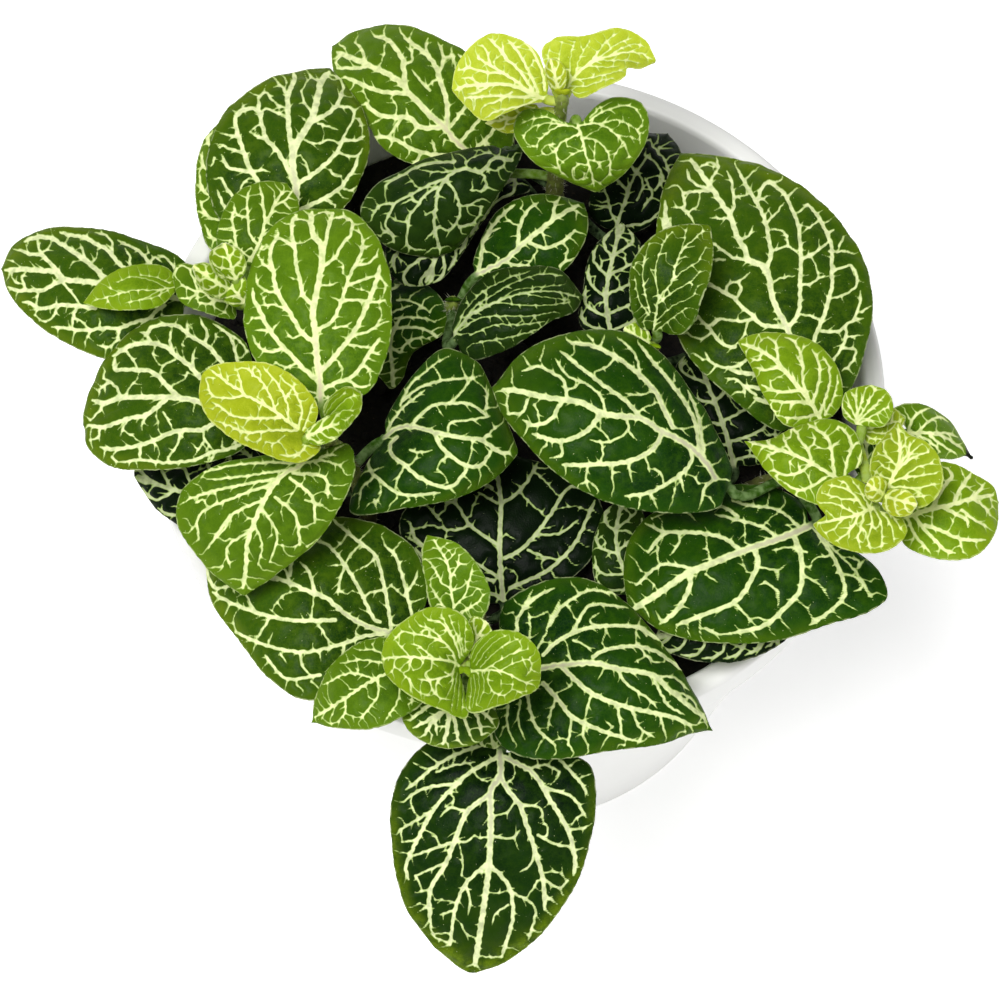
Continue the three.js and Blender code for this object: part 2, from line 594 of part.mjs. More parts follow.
// The upper face of a leaf: a point for along 0 to 1 (base to tip) and across -1 to 1 (left to right).
function leafFace({ spine, left, right, rise }) {
  const midrib = new THREE.CatmullRomCurve3(spine.map((p) => new THREE.Vector3(...p)));
  const base = spine[0];
  const tip = spine[spine.length - 1];
  const ahead = new THREE.Vector2(spine[1][0] - base[0], spine[1][1] - base[1]).normalize();
  const margin = (points, side) => {
    const start = [
      base[0] - side * ahead.y * HALF_STALK_IN_VIEW,
      base[1] + side * ahead.x * HALF_STALK_IN_VIEW,
    ];
    return new THREE.CatmullRomCurve3(
      [start, ...points, tip.slice(0, 2)].map(([x, y]) => new THREE.Vector3(x, y, 0)),
    );
  };
  const margins = [margin(left, -1), margin(right, 1)];
  return (along, across) => {
    const side = across < 0 ? 0 : 1;
    const reach = Math.abs(across);
    const middle = midrib.getPointAt(along);
    const edge = margins[side].getPointAt(along);
    const lift = rise[side] * Math.sin(Math.PI * along) ** ARCH_FALL * reach ** EDGE_CURL;
    return place(
      THREE.MathUtils.lerp(middle.x, edge.x, reach),
      THREE.MathUtils.lerp(middle.y, edge.y, reach),
      middle.z + lift,
    );
  };
}

// One ring across the blade: left edge, upper face, right edge, and back along the lower face.
function bladeRing(face, along) {
  const step = 0.03;
  const ahead = face(Math.min(along + step, 1), 0).sub(face(Math.max(along - step, 0), 0));
  const across = face(Math.max(along, step), 0.6).sub(face(Math.max(along, step), -0.6));
  const up = across.cross(ahead).normalize();
  const rib = (2 * STALK_RADIUS - BLADE_THICKNESS) * (1 - along) ** 2;
  const upper = BLADE_COLUMNS.map((column) => face(along, column));
  const lower = BLADE_COLUMNS.map((column) =>
    face(along, column).addScaledVector(up, -BLADE_THICKNESS - (column === 0 ? rib : 0)),
  );
  return [face(along, -1), ...upper, face(along, 1), ...lower.reverse()];
}

// The stalk leaves its stem square to it and runs into the midrib. startRadius is the distance
// from the stem's centre line at which it starts.
function leafGeometry(leaf, startRadius = stemRadius(leaf.node) + CLEARANCE) {
  const face = leafFace(leaf);
  const base = face(0, 0);
  const ahead = face(NEAR_BASE, 0).sub(base).normalize();
  const across = face(NEAR_BASE, 0.6).sub(face(NEAR_BASE, -0.6)).normalize();
  const up = across.clone().cross(ahead).normalize();
  const stalkEnd = base.clone().addScaledVector(up, -STALK_RADIUS);
  const stem = stemCurve(STEMS[leaf.stem]);
  const axis = stem.getTangentAt(leaf.node);
  const outward = stalkEnd.clone().sub(stem.getPointAt(leaf.node));
  outward.addScaledVector(axis, -outward.dot(axis)).normalize();
  const stalkStart = stem.getPointAt(leaf.node).addScaledVector(outward, startRadius);
  const reach = stalkStart.distanceTo(stalkEnd);
  const stalk = new THREE.CubicBezierCurve3(
    stalkStart,
    stalkStart.clone().addScaledVector(outward, 0.35 * reach),
    stalkEnd.clone().addScaledVector(ahead, -0.4 * reach),
    stalkEnd,
  );
  const stalkRings = STALK_SHARES.map((share) =>
    roundRing(stalk.getPoint(share), stalk.getTangent(share), across, STALK_RADIUS),
  );
  const length = base.distanceTo(face(1, 0));
  const stations = length < SMALL_LEAF_LENGTH ? SMALL_LEAF_STATIONS : STATIONS;
  const bladeRings = stations.map((along) => bladeRing(face, along));
  return loft(stalkStart, [...stalkRings, ...bladeRings], face(1, 0));
}

// A stem with the baby leaves of its growing tip, which are one piece with it.
function stemWithBuds(name) {
  const stem = stemGeometry(STEMS[name]);
  const buds = BUD_LEAVES.filter((bud) => bud.stem === name);
  if (!buds.length) return stem;
  const joined = buds.reduce((solid, bud) => solid.add(solidOf(leafGeometry(bud, 0))), solidOf(stem));
  return geometryOf(joined);
}

// ---- The plant in its pot ------------------------------------------------------------------
const plant = new THREE.Group();

function addPiece(name, geometry, material) {
  const mesh = new THREE.Mesh(geometry, material);
  mesh.name = name;
  plant.add(mesh);
}

function leafMaterial(name) {
  if (YOUNG_LEAVES.includes(name)) return MATERIALS.youngLeaf;
  return MIDDLE_LEAVES.includes(name) ? MATERIALS.middleLeaf : MATERIALS.oldLeaf;
}

addPiece("pot", potGeometry(), MATERIALS.pot);
addPiece("soil", soilGeometry(), MATERIALS.soil);
Object.keys(STEMS).forEach((name) => addPiece(name, stemWithBuds(name), MATERIALS.stem));
Object.entries(LEAVES).forEach(([name, leaf]) => addPiece(name, leafGeometry(leaf), leafMaterial(name)));

export default plant;
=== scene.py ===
import math

import bpy
import numpy as np
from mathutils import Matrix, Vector


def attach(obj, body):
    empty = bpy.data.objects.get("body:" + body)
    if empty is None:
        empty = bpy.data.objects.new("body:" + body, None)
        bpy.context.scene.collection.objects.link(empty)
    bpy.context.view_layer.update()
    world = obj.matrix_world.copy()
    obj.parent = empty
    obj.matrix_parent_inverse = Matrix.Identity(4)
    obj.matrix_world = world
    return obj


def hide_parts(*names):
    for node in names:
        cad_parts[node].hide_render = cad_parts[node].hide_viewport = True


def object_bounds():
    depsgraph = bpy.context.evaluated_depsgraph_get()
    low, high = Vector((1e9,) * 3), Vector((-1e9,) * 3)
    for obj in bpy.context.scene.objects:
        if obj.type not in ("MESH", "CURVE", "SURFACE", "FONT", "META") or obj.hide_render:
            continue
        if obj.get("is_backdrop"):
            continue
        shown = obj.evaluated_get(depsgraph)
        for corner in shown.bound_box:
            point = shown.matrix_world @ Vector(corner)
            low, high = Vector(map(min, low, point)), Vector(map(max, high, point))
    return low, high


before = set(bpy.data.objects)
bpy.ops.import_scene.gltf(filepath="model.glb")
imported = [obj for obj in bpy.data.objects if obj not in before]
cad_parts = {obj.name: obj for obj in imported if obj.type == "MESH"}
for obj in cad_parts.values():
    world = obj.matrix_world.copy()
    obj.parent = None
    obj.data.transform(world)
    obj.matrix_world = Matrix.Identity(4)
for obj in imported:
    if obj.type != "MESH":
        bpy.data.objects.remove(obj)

# A potted nerve plant: eight stems of leaves with pale net veins, in a plain white pot.
# Lengths are in millimetres until a mesh is made, and the part's frame has its origin in the
# middle of the pot's foot, with +Z up.
MM = 0.001
CAD_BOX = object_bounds()
SEED = 11
random = np.random.default_rng(SEED)
TURN = 2 * math.pi

# ---- Sizes ----------------------------------------------------------------------------------------
RIM_RADIUS = 60.0
POT_HEIGHT = 100.0
BASE_RADIUS = 42.0
WALL = 2.2
FLOOR = 3.0
LIP_DEPTH = 9.0
LIP_OUT = 1.6
DRAIN_COUNT = 4
DRAIN_DIAMETER = 9.0
DRAIN_CIRCLE_RADIUS = 24.0
SOIL_TOP = 88.0
SOIL_MOUND = 3.0
CLEARANCE = 0.3
STEM_RADIUS = 1.5
STEM_TIP_RADIUS = 1.0
STEM_DEPTH_IN_SOIL = 6.0
STALK_RADIUS = 0.8

# ---- The view in which the leaves are drawn -------------------------------------------------------
# Its frame is VIEW_SIZE units square, and FOCAL is its lens in the same units.
VIEW_SIZE = 1000
FOCAL = 3333.3
EYE = np.array([-2.76, -230.09, 591.0])
PITCH = math.radians(66.81)
VIEW_UP = np.array([0.0, math.sin(PITCH), math.cos(PITCH)])
VIEW_AHEAD = np.array([0.0, math.cos(PITCH), -math.sin(PITCH)])
VIEW_RIGHT = np.array([1.0, 0.0, 0.0])
VIEW_UNIT_AT_RIM = 0.162  # what one unit of the view measures at the rim


def place(across, down, height):
    """The points that are seen at (across, down) and lie at a height over the rim."""
    across, down, height = np.broadcast_arrays(across, down, height)
    ray = (
        VIEW_AHEAD
        + VIEW_RIGHT * ((across - VIEW_SIZE / 2) / FOCAL)[..., None]
        + VIEW_UP * ((VIEW_SIZE / 2 - down) / FOCAL)[..., None]
    )
    reach = (POT_HEIGHT + height - EYE[2]) / ray[..., 2]
    return EYE + ray * reach[..., None]


# ---- The stems and the leaves ---------------------------------------------------------------------
# root: where a stem leaves the soil, from the pot's axis. tip: where its top is seen, and how
# high it stands over the rim. tone: the tone of the scale leaves of its bud.
STEMS = {
    "stem_left": {"root": [-24, -19], "tip": [318, 431, 35], "tone": "lime"},
    "stem_front": {"root": [-6, -38], "tip": [464, 668, 32], "tone": "lime"},
    "stem_right": {"root": [36, -16], "tip": [884, 496, 29], "tone": "yellow"},
    "stem_far_left": {"root": [-36, 14], "tip": [238, 291, 25], "tone": "lime"},
    "stem_back": {"root": [6, 31], "tip": [562, 93, 38], "tone": "yellow"},
    "stem_middle": {"root": [20, 4], "tip": [652, 346, 21], "tone": "lime"},
    "stem_inner": {"root": [-11, 14], "tip": [453, 300, 8], "tone": "dark"},
    "stem_right_inner": {"root": [26, -20], "tip": [690, 465, 8], "tone": "dark"},
}

# Each block is a leaf. Its first line says: the leaf's name, the stem that carries it, how far up
# the stem its stalk starts (from 0 to 1), how far its left and right margins stand above its
# midrib halfway along, its tone, and how broad its veins are beside what is drawn.
# The second line is its midrib from base to tip, as across,down,height over the rim. The third
# and fourth are its left and right margins between the two, left as seen from the base.
# Each line after those is a vein: its width, then the points that it passes. A line that starts
# with + carries on the vein before it. A leaf without such lines has all its veins by rule.
LEAF_TABLE = """
left_leaf_tall stem_left 0.8 -3 -3 bright 1
323,405,25 313,345,29 315,290,32 322,245,32 335,208,29
283,392 252,355 244,310 250,268 272,226 300,211
368,392 389,345 392,300 385,255 366,222 350,211
8 320,403 320,385 317,360 315,330 313,315 315,300 318,285 321,268 322,256 320,243 314,236 311,222
+ 312,212
5 322,258 326,240 329,225 333,213
4.5 316,330 325,326 333,320 340,305 345,290 350,275 357,262 362,250 363,240
4 325,265 335,257 343,243 350,235 352,222 345,217 333,218
5 313,305 303,295 300,280 296,265 295,250 292,235 293,220 297,215
4 294,247 284,240 278,237 277,228
5.5 314,342 302,333 295,322 288,310 280,297 275,285 273,270 270,255 273,243 277,237
5.5 317,380 303,368 293,357 283,347 273,335 265,322 260,310 253,298 252,288
3 278,293 265,290 257,283 256,273
3 271,270 262,262 258,255
2.5 287,310 275,305 262,305
2.5 300,335 292,338 285,330
3.5 270,330 262,330 255,330
3.5 283,348 270,352 257,345 252,335
2.5 263,318 252,318
2.5 297,363 285,367 275,362
3 355,265 368,263 377,255
3 362,248 372,245
2.5 333,328 345,326 352,322
6 320,372 330,362 340,350 350,338 358,325 365,310 370,298 375,285 378,275 380,265
3.5 348,285 362,280 377,275
3.5 345,300 360,300 375,302 385,300
3.5 352,335 367,332 378,325
3 350,345 365,347 372,348
5 322,390 335,383 350,378 360,368 368,355 375,345 380,338
3.5 348,380 360,387 370,385
2 372,352 380,355
2.5 320,285 330,285 338,282
2.5 311,222 300,219 293,220
2.5 378,275 385,285 383,297

left_leaf_yellow stem_left 0.97 2 2 yellow 0.85
309,437,34 275,415,37 245,398,38 202,374,36
321,447 304,461 284,460 261,452 232,438 207,416 199,394
318,408 300,382 270,364 235,362 212,366
4.5 298,428 290,423 280,415 265,405 255,400 245,395 240,390 230,385 222,378 213,372
3 275,410 272,400 267,390 262,382 255,376 245,368 235,370
3 242,390 240,380 237,370
2.5 228,380 226,372
3 288,421 288,408 285,398 280,388 273,378 267,372 263,366
2 272,380 267,388
3 298,428 302,410 298,398 293,388 285,382 280,376
2 291,390 286,397
2.5 303,430 308,418 312,405
3.5 280,418 265,418 245,418 232,415 222,408 212,402
2.5 250,418 243,427
2.5 262,418 258,425
3.5 297,430 280,430 265,431 245,432 232,427 220,422
2 250,432 245,438
2 262,432 260,440
3 243,395 232,398 212,395 208,385 206,378 215,378
2 265,405 262,398
2 252,376 253,366
2 240,432 235,420
2 285,435 275,443 265,442

left_leaf_young stem_left 0.95 3 3 lime 0.42
331,427,37 341,415,39 350,405,41 361,393,42
324,408 336,393 350,387
341,432 353,420 361,407
2.5 326,420 335,410 345,400 355,395
1.8 325,415 333,403 345,393
1.8 324,412 330,400 338,394
2.5 322,424 335,417 345,410 353,411
1.8 335,417 345,420 352,415
2 320,428 333,428 345,430
1.8 330,427 336,434

left_leaf_lower stem_left 0.78 -2 -3 mid 1
309,451,29 284,475,31 264,508,31 252,545,27 244,596,20
348,444 355,468 341,505 318,540 280,572
270,454 215,466 182,490 177,520 190,548 215,575
6 305,455 300,465 285,473 275,483 267,495 255,520 247,545 246,565 243,588
4 275,497 295,515 300,545
4 290,478 312,497 315,523
4 293,473 325,478 328,498
3 262,508 277,535 270,562
3.5 262,500 232,515 208,548
3.5 275,483 235,497 200,515 198,540
3.5 280,478 225,488 190,498
3 248,532 227,548 230,568
3 300,463 265,462 230,466 205,472
3 285,470 250,475 215,480
3 300,463 320,460 340,465
2.5 315,462 325,455 338,455
2.5 253,522 262,545 258,565
2.5 305,500 322,505
2.5 230,515 225,528 217,537
2.5 208,507 202,500 195,503

left_leaf_outer stem_left 0.6 -4 -4 olive 1
262,408,17 200,403,21 150,400,19 83,425,12
245,447 210,462 160,470 110,466 88,448
243,340 200,316 150,320 113,350 90,390
7 215,410 200,402 180,398 160,397 135,397 118,398 105,403 92,400
5.5 178,396 168,387 160,378 150,371 138,370 125,369 115,369 115,358
3.5 118,398 118,390 110,382 103,378
5.5 200,378 192,368 185,362 175,355 168,348 158,344 145,343 132,345 122,350 113,356
3 125,350 133,360 138,370
3 150,343 147,333 150,326
3.5 172,352 170,340 172,328
2.5 175,360 163,366 160,375
5 222,362 212,350 203,343 190,335 180,328 170,325 158,325 150,328 147,333 140,332
3 193,367 193,355 196,347
3.5 205,343 207,332 202,323 200,318
2.5 187,330 187,320
3.5 238,362 233,345 228,333 220,327 213,323
2.5 228,333 238,340 248,352
5.5 165,400 155,408 145,415 130,418 115,423 103,427 88,425
2.5 147,415 142,425 142,430
2.5 127,420 122,430 120,436
5.5 213,424 200,430 185,430 170,433 155,440 140,445 125,448 108,449 100,447
3 100,427 98,437 90,440
2.5 118,448 112,457
3 180,432 177,445 170,455 167,460
4 140,447 140,460
2.5 203,430 204,440 200,447 195,455
2.5 205,440 213,450
4 240,445 225,450 210,453 195,460 180,462 165,463 150,461 137,460 125,462
2.5 155,463 156,468
2 215,452 210,463 203,468
2.5 163,412 168,420 173,430
3 105,403 95,415 90,420
2.5 110,382 100,388 98,396

left_leaf_inner stem_left 0.6 -5 -5 dark 1
381,438,14 430,428,21 475,440,22 518,453,18
393,405 418,370 445,348 478,362 495,393 511,430
366,465 350,512 408,508 460,497 500,474
6 382,438 400,427 415,427 435,432 465,438 482,440 500,452 510,453
4 412,425 420,415 432,406 450,403 470,404 488,416
3 450,403 460,393 472,378
3.5 403,400 415,390 430,383 445,380 470,378
3 387,430 400,410 425,390
3 448,430 450,423 470,420 490,416
3 482,440 495,428
5 435,434 440,445 450,455 465,465 480,466 492,450
5 397,437 390,445 392,455 405,465 420,478 450,487 467,470
4 368,455 370,470 380,480 400,494 440,493
2.5 405,465 398,478 395,490
2.5 450,455 440,462 437,470
2.5 410,450 420,452 432,450
3 372,478 362,488 360,498
2.5 400,405 410,385 425,372 440,362

left_leaf_under stem_left 0.4 -3 -3 deep 1
270,490,6 220,492,9 175,490,8 134,474,4
250,530 215,538 176,524 150,502
255,450 215,440 170,440 140,455

front_leaf_yellow_left stem_front 0.95 2 2 lime 0.75
462,668,32 440,660,36 410,657,37 381,656,34
467,717 440,709 405,692 386,674
474,640 462,614 432,607 402,622 386,639
4 463,669 455,663 443,660 428,658 410,657 396,657 383,659
3 456,661 451,650 443,642 431,637 415,634 402,632 394,640
2.4 443,642 436,633 428,628 420,626
2.8 460,658 455,642 448,630 440,622 428,620
2.2 451,635 446,624 441,615
1.8 462,655 458,638 452,624 449,615
1.3 464,652 460,635 458,620
1.3 466,652 465,636 466,622
2.4 433,657 424,650 417,645 411,644
2.4 410,657 402,648 396,641
3 456,665 451,674 440,678 428,680 418,679
2.4 411,659 409,668 404,674 410,680
2.4 433,659 431,668 425,675 430,682
2.4 440,678 436,687 437,694
2.4 430,681 434,692 443,699 450,700
2 396,658 394,665 402,672
2 453,672 452,685 446,698
1.3 457,673 455,688 452,705
1.3 460,674 459,690 457,710
1.3 463,677 463,694 462,713
2 431,637 428,630 420,632

front_leaf_yellow_right stem_front 0.95 2 2 lime 0.55
468,671,32.4 490,671,36.4 517,676,37.4 541,676,34.4
474,645 493,631 520,633 539,652
468,711 497,706 521,697 538,688
4 472,671 485,670 500,671 513,676 522,681 532,684
2.6 486,669 500,660 514,653 528,649
2 480,667 492,655 505,645 518,639
1.8 476,665 485,652 496,641 507,635
1.5 473,662 480,650 488,641 497,634
1.3 471,658 475,648 481,640 488,634
2.4 500,671 512,664 530,660 531,670 526,676
2 514,653 522,647 519,641
1.6 505,645 510,640 509,634
2.4 489,671 488,682 494,692 503,695 511,690 513,681
2 501,680 501,688
1.6 482,672 484,687 479,703
1.3 478,673 479,688 476,705
1.3 474,675 475,690 472,707
1.3 471,678 471,692 469,708
2 513,689 520,692
2 522,657 525,664

front_leaf_up stem_front 0.78 1 1 bright 0.7
460,628,24.4 452,590,27.4 443,560,29.4 427,535,28.4
434,612 425,578 422,550
481,620 490,596 480,568 456,543
4 454,607 451,590 450,575 446,560 440,550 434,540
3 456,605 465,595 468,585 472,570
3 450,578 458,565 459,555
3 450,588 442,583 437,573 430,562
3 445,608 438,598 430,585
3 462,612 478,602 483,595
2.5 452,590 460,588 467,582
2 446,562 455,553
2 440,550 447,543

front_leaf_side stem_front 0.78 -1 -1 mid 0.75
418,672,22 387,674,25 350,698,25 311,723,19
424,700 400,718 370,729 335,728
415,645 385,637 355,644 330,667 315,697
5 400,672 385,674 360,688 330,708 315,717
3 378,680 350,673 327,683
3 385,663 360,660 340,663
3.5 378,682 378,695 362,717
3 400,685 398,700 387,718
3 395,665 375,650 360,650
3 345,698 345,712 338,722
2.5 355,675 345,665
2.5 412,690 412,705

front_leaf_curled stem_front 0.7 -2 -2 two_tone 1.4
462,700,22 455,722,24 448,749,20
490,704 499,724 482,741
432,699 402,713 407,729 428,744
4 450,706 449,715 448,725 446,735 443,744
3.5 447,708 440,715 430,725 425,735
3.5 452,708 455,722 458,740
3 460,708 465,720 470,735
3.5 440,704 430,705 420,712 410,720
3 440,712 425,722 413,728
3 468,706 475,712 480,725 482,735
3 475,707 487,715 492,722
2.5 435,720 437,735

front_leaf_left stem_front 0.55 -4 -4 olive 1
392,637,12 350,615,16 310,591,18 255,572,15 203,557,10
377,665 342,692 305,700 268,678 238,640 211,600
420,615 428,590 415,550 385,527 345,517 300,520 240,535
6 405,640 390,633 370,627 350,617 335,605 325,597 310,592 295,585 278,578
5 335,620 290,620 255,612 225,600 212,592
4.5 390,633 365,636 345,643 305,652 265,645 235,632
4.5 380,622 375,620 360,590 345,565 328,545 315,540
4 315,592 308,570 300,562
4.5 392,632 385,590 375,555 350,535 332,518
4 413,620 405,585 395,555 385,545
4 320,675 285,678 265,655
3 405,595 415,580 418,570
3 385,590 372,592 362,598
3 345,565 340,580 338,595
3 300,652 302,665 310,675
3 270,617 262,630 255,640
3 345,643 340,660 325,672
2.5 360,545 350,555 345,565
2.5 255,612 245,595 232,588
3 290,585 285,570 275,562
3 390,632 375,650 355,665 330,680

front_leaf_right stem_front 0.55 -4 -4 dark 1
508,668,12 571,665,19 635,672,20 680,698,17 713,731,11
500,640 503,606 530,587 575,577 612,590 645,622 680,668 702,706
497,700 496,738 520,756 560,759 605,752 660,745 690,735
7 540,668 560,665 595,663 615,668 655,676 670,690 705,718
5 543,655 555,643 580,630 600,626 640,628 655,638
4 573,632 580,618 590,605 628,608
3.5 550,625 560,608 575,597 590,590 615,592
5 593,657 605,650 640,646 662,655 685,672
6 563,668 590,692 620,705 675,718 690,725
5.5 543,683 560,702 570,715 600,730 630,740
3.5 617,668 625,682 640,693 650,700 657,708
3.5 655,680 662,695 668,705 685,715
4 527,695 530,710 537,728 555,745
2.5 555,700 550,715 548,730
3 592,693 588,705 585,718
3 572,716 570,730 568,745
3.5 617,705 620,720 622,738
3 632,710 640,728 655,738
3 660,715 664,730
3 585,722 583,735 588,745
2.5 535,652 545,635 550,620 560,600
2.5 527,645 530,630 528,610
3 640,628 660,640 672,652
3 655,676 675,678 690,690
2.5 675,692 690,697 700,710
2.5 573,640 585,645 592,652
2.5 520,700 518,720 525,740
2.5 508,705 507,725 513,740
2.5 640,646 645,655 635,662
2.5 600,628 590,620 600,612

front_leaf_hanging stem_front 0.45 -3 -3 night 1
502,746,7 493,800,9 490,860,6 483,920,-1 473,973,-9
560,752 590,765 596,800 588,850 570,895 540,935 505,962
492,734 470,734 430,742 402,770 391,808 393,860 405,905 430,942 455,965
8 500,752 500,775 491,790 491,820 490,845 489,865 484,905 478,945 475,965
6 500,775 508,790 520,805 525,820 535,850 543,880 545,910
6 505,757 532,772 550,800 568,830 575,860 573,875
4 560,760 580,782 588,795
4 543,787 572,797 587,818
5 490,865 508,885 513,915 502,957
3 512,892 535,908 528,940
3 492,836 512,838 520,830
3.5 538,835 555,844 572,847
6 488,795 467,812 455,840 445,865 430,890 430,920
5 497,757 470,772 450,790 432,812 417,840 405,867 408,880
4 460,783 425,788 410,795
3 430,812 400,830
3.5 450,843 430,850 410,857
3 445,863 415,876
4 480,745 445,760 405,790
4.5 485,865 465,885 455,910 450,945
3 468,812 450,808 440,817
3 520,805 540,808 543,820
3 568,830 585,828
3 417,840 402,842
3 535,850 530,865 520,872
3 465,885 470,900 468,915
3 455,840 465,842 475,835
3 545,880 560,888 568,880
2.5 430,890 415,893
2.5 430,905 418,912
3 545,895 558,905
3 455,910 440,915
2.5 508,905 495,915 492,925
3 525,770 545,765 560,772
2.5 436,772 455,765 475,762

front_leaf_deep stem_front 0.2 -1 -1 deep 1
505,607,-3 502,560,1 500,510,3 497,452,3
455,592 412,560 400,520 430,485 465,465
550,592 590,560 604,520 590,485 540,462
6 503,600 500,560 500,530 501,505 497,470
4 498,545 470,525 455,503 445,502
3.5 500,578 470,560 450,552
3 497,503 478,492
4 503,502 515,495 528,480 538,462
4.5 505,558 520,550 535,535 550,515 570,487 585,489
4.5 510,588 545,572 560,560 575,543 595,500
3 440,520 425,505 412,505
3 535,535 560,533 578,520
3 455,503 458,490 470,480
3 470,525 455,530 430,525
3 528,550 545,557 560,560

right_leaf_top stem_right 0.95 2 2 fresh 0.9
888,489,32 896,470,34 899,448,35 898,422,34
875,484 870,466 875,448 886,435
907,508 930,503 942,485 939,458 926,442 908,434
4 886,491 893,477 898,465 900,450 899,436 898,425
3.2 895,472 905,463 916,456 928,452
2.4 905,463 912,452 922,444
3 898,465 908,453 910,442
2.4 899,450 905,444 906,437
2.8 891,482 903,478 917,476 936,473
2.8 889,487 902,487 916,488 934,484
2.4 888,490 900,495 912,497 924,496
2.4 903,478 916,468 932,463
2.6 897,466 889,458 884,449 884,441
2.4 895,472 886,468 878,461
2.4 892,480 884,477 876,472
2.2 889,458 881,455 877,452
2.2 900,445 893,440 891,433
2 912,488 922,494

right_leaf_fore stem_right 0.95 1 1 fresh 0.87
876,507,31 860,513,33 840,518,33 813,525,30
900,516 907,532 892,548 864,553 835,545 818,532
869,488 846,476 823,484 816,500 827,512
4 880,504 868,510 856,515 843,518 830,521 818,523
3 866,511 858,500 850,491 840,487 828,485
2.6 856,514 843,507 832,503 820,503
2.6 858,500 845,499 832,496 822,493
2.4 871,508 864,497 858,487 853,482
2.4 850,491 845,483 838,480
3 858,516 853,526 845,535 835,541
3 864,513 861,527 858,538 860,547
2.8 870,510 872,524 868,538 870,548
2.6 874,508 881,522 882,536 882,546
2.6 877,507 888,520 893,532 894,542
2.4 880,506 893,517 901,529
2.4 843,518 836,527 826,533
2.2 853,526 848,528 840,528
2.2 861,527 866,533 864,541
2.2 872,524 877,531

right_leaf_fore_left stem_right 0.84 -2 -2 lime 1
848,478,28 820,464,30 785,450,30 744,441,26
835,506 800,498 773,478 756,457
862,462 856,433 828,419 792,428 768,440
4.5 838,479 820,468 810,462 795,455 780,450 765,446 748,441
4 835,478 833,462 831,448 827,437 818,430 808,424
3.5 812,463 808,450 800,440 795,430 788,427
3 792,453 785,442 783,433
3.5 845,475 848,458 852,445 845,432 838,427
3 852,480 858,465 862,450
3.5 812,463 800,472 785,475 773,470
3 780,450 768,455
3.5 825,478 810,487 798,490 785,483
3 775,448 768,442 765,437
2.5 831,448 840,440
2.5 850,450 860,440
2.5 800,472 798,462
2.5 798,490 795,497
2.5 808,450 815,440 812,432

right_leaf_upper_left stem_right 0.75 -2 -2 lime 1
822,426,21 800,390,26 775,362,27 738,341,24
785,425 766,400 752,370
842,402 836,364 806,338 765,332
5 820,418 812,405 803,392 795,383 785,371 775,360 763,352 750,346 742,344
3.5 808,397 803,380 803,365 800,352 793,340 785,337
3.5 812,405 817,390 820,375 818,360 812,350
3 820,412 827,395 830,380 828,365 823,357
2.5 825,415 835,395 838,382
3.5 778,362 777,350 775,342 768,337
3.5 785,370 775,368 765,370 758,368
4 800,390 785,392 772,390 762,385
4 808,402 795,402 782,402 770,400
3.5 815,415 800,418 788,418
2.5 762,352 758,360 750,358
2.5 795,383 792,372
2.5 803,365 796,355
2.5 795,402 790,410
2.5 772,390 770,380

right_leaf_round stem_right 0.78 1 1 lime 1
862,427,29.5 863,407,31.5 872,385,31.5
844,416 845,394 858,387
884,426 893,407 887,391
2.6 857,425 857,411 856,398 857,388
2 857,420 850,406 846,393
2 857,424 846,412 840,402
2 857,415 862,401 866,388
2 858,419 868,403 875,390
2 858,422 872,408 883,397
2 858,425 874,415 888,407
1.4 856,400 852,393
1.4 862,401 861,393
1.4 868,403 870,393
1.4 868,411 880,404
1.4 850,406 844,400

right_leaf_small stem_right 0.91 1 1 fresh 1.15
863,431,25 882,428,27 905,419,27
872,414 893,408
868,443 893,440
2 862,430 875,427 890,423 900,421
1.8 868,432 880,433 893,434
1.8 870,427 885,417
1.8 865,434 870,438 880,439

right_leaf_outer stem_right 0.86 -2 -2 bright 1
905,432,20 933,434,23 962,451,19 973,459,18
893,409 920,404 946,417 963,441 969,453
908,447 930,457 953,459 965,456
4 905,434 915,433 930,433 945,437 962,448
3.5 908,432 912,420 920,412 930,408
3 918,432 928,422 940,417 948,422
3 935,433 948,433 958,437
3 918,435 932,443 940,452
3 930,436 945,447 955,453
2 905,428 903,420

right_leaf_side stem_right 0.9 -1 -1 lime 1.15
902,517,24 935,508,27 965,503,27 999,502,22
915,492 938,462 972,472 993,487
903,543 940,559 975,556 995,533
5 905,517 920,512 935,508 950,505 960,502 975,498 993,495
4.5 932,508 937,498 945,485 952,475 948,468
4.5 955,500 960,490 968,478 972,472
3.5 972,498 980,490 985,483
4 945,508 958,515 967,520 968,527
4 915,517 925,530 935,540 945,550 955,553
4 925,525 940,530 955,537 970,540 985,540
3.5 908,520 915,535 928,550
2.5 960,540 963,552
3 962,510 975,520 985,525
3 975,500 985,507 990,515

right_leaf_low stem_right 0.6 -4 -6 dark 1
815,523,10 779,539,13 745,551,14 689,572,14 627,604,10
850,547 880,572 887,597 868,612 830,624 780,640 715,643 662,631
805,505 775,488 735,484 690,500 650,514 632,535 624,572
9 815,523 800,530 780,538 745,550 705,566 690,572 660,592 632,610
5 740,550 728,540 715,535 680,532 665,533 648,552
4 665,533 645,523
4 690,568 675,565 660,565 636,585
4 776,537 765,528 735,519 715,514
3.5 800,527 778,510 750,505 732,500
6 690,572 690,585 677,610 660,624
6 755,550 758,562 752,578 737,600 703,615 677,625
6 795,538 800,552 802,570 800,590 785,608 765,625 735,633
5 815,528 835,560 843,580 845,595 825,615 810,625
3 737,605 755,625
3 765,582 778,592 778,607
2.5 760,567 778,572 778,580
2.5 803,575 820,585 830,600
2.5 820,535 850,565 865,585 873,600
3 680,532 678,545 670,555
2.5 700,615 700,632
2.5 807,552 790,547 772,550
2.5 838,572 860,580 870,595

right_leaf_large stem_right 0.55 -4 -4 olive 0.9
805,430,10 795,370,17 787,328,19 768,270,19 735,218,17 680,153,10
775,430 728,395 688,355 668,310 656,265 657,220 666,180
850,390 867,345 873,310 865,262 845,228 808,190 760,165 715,155
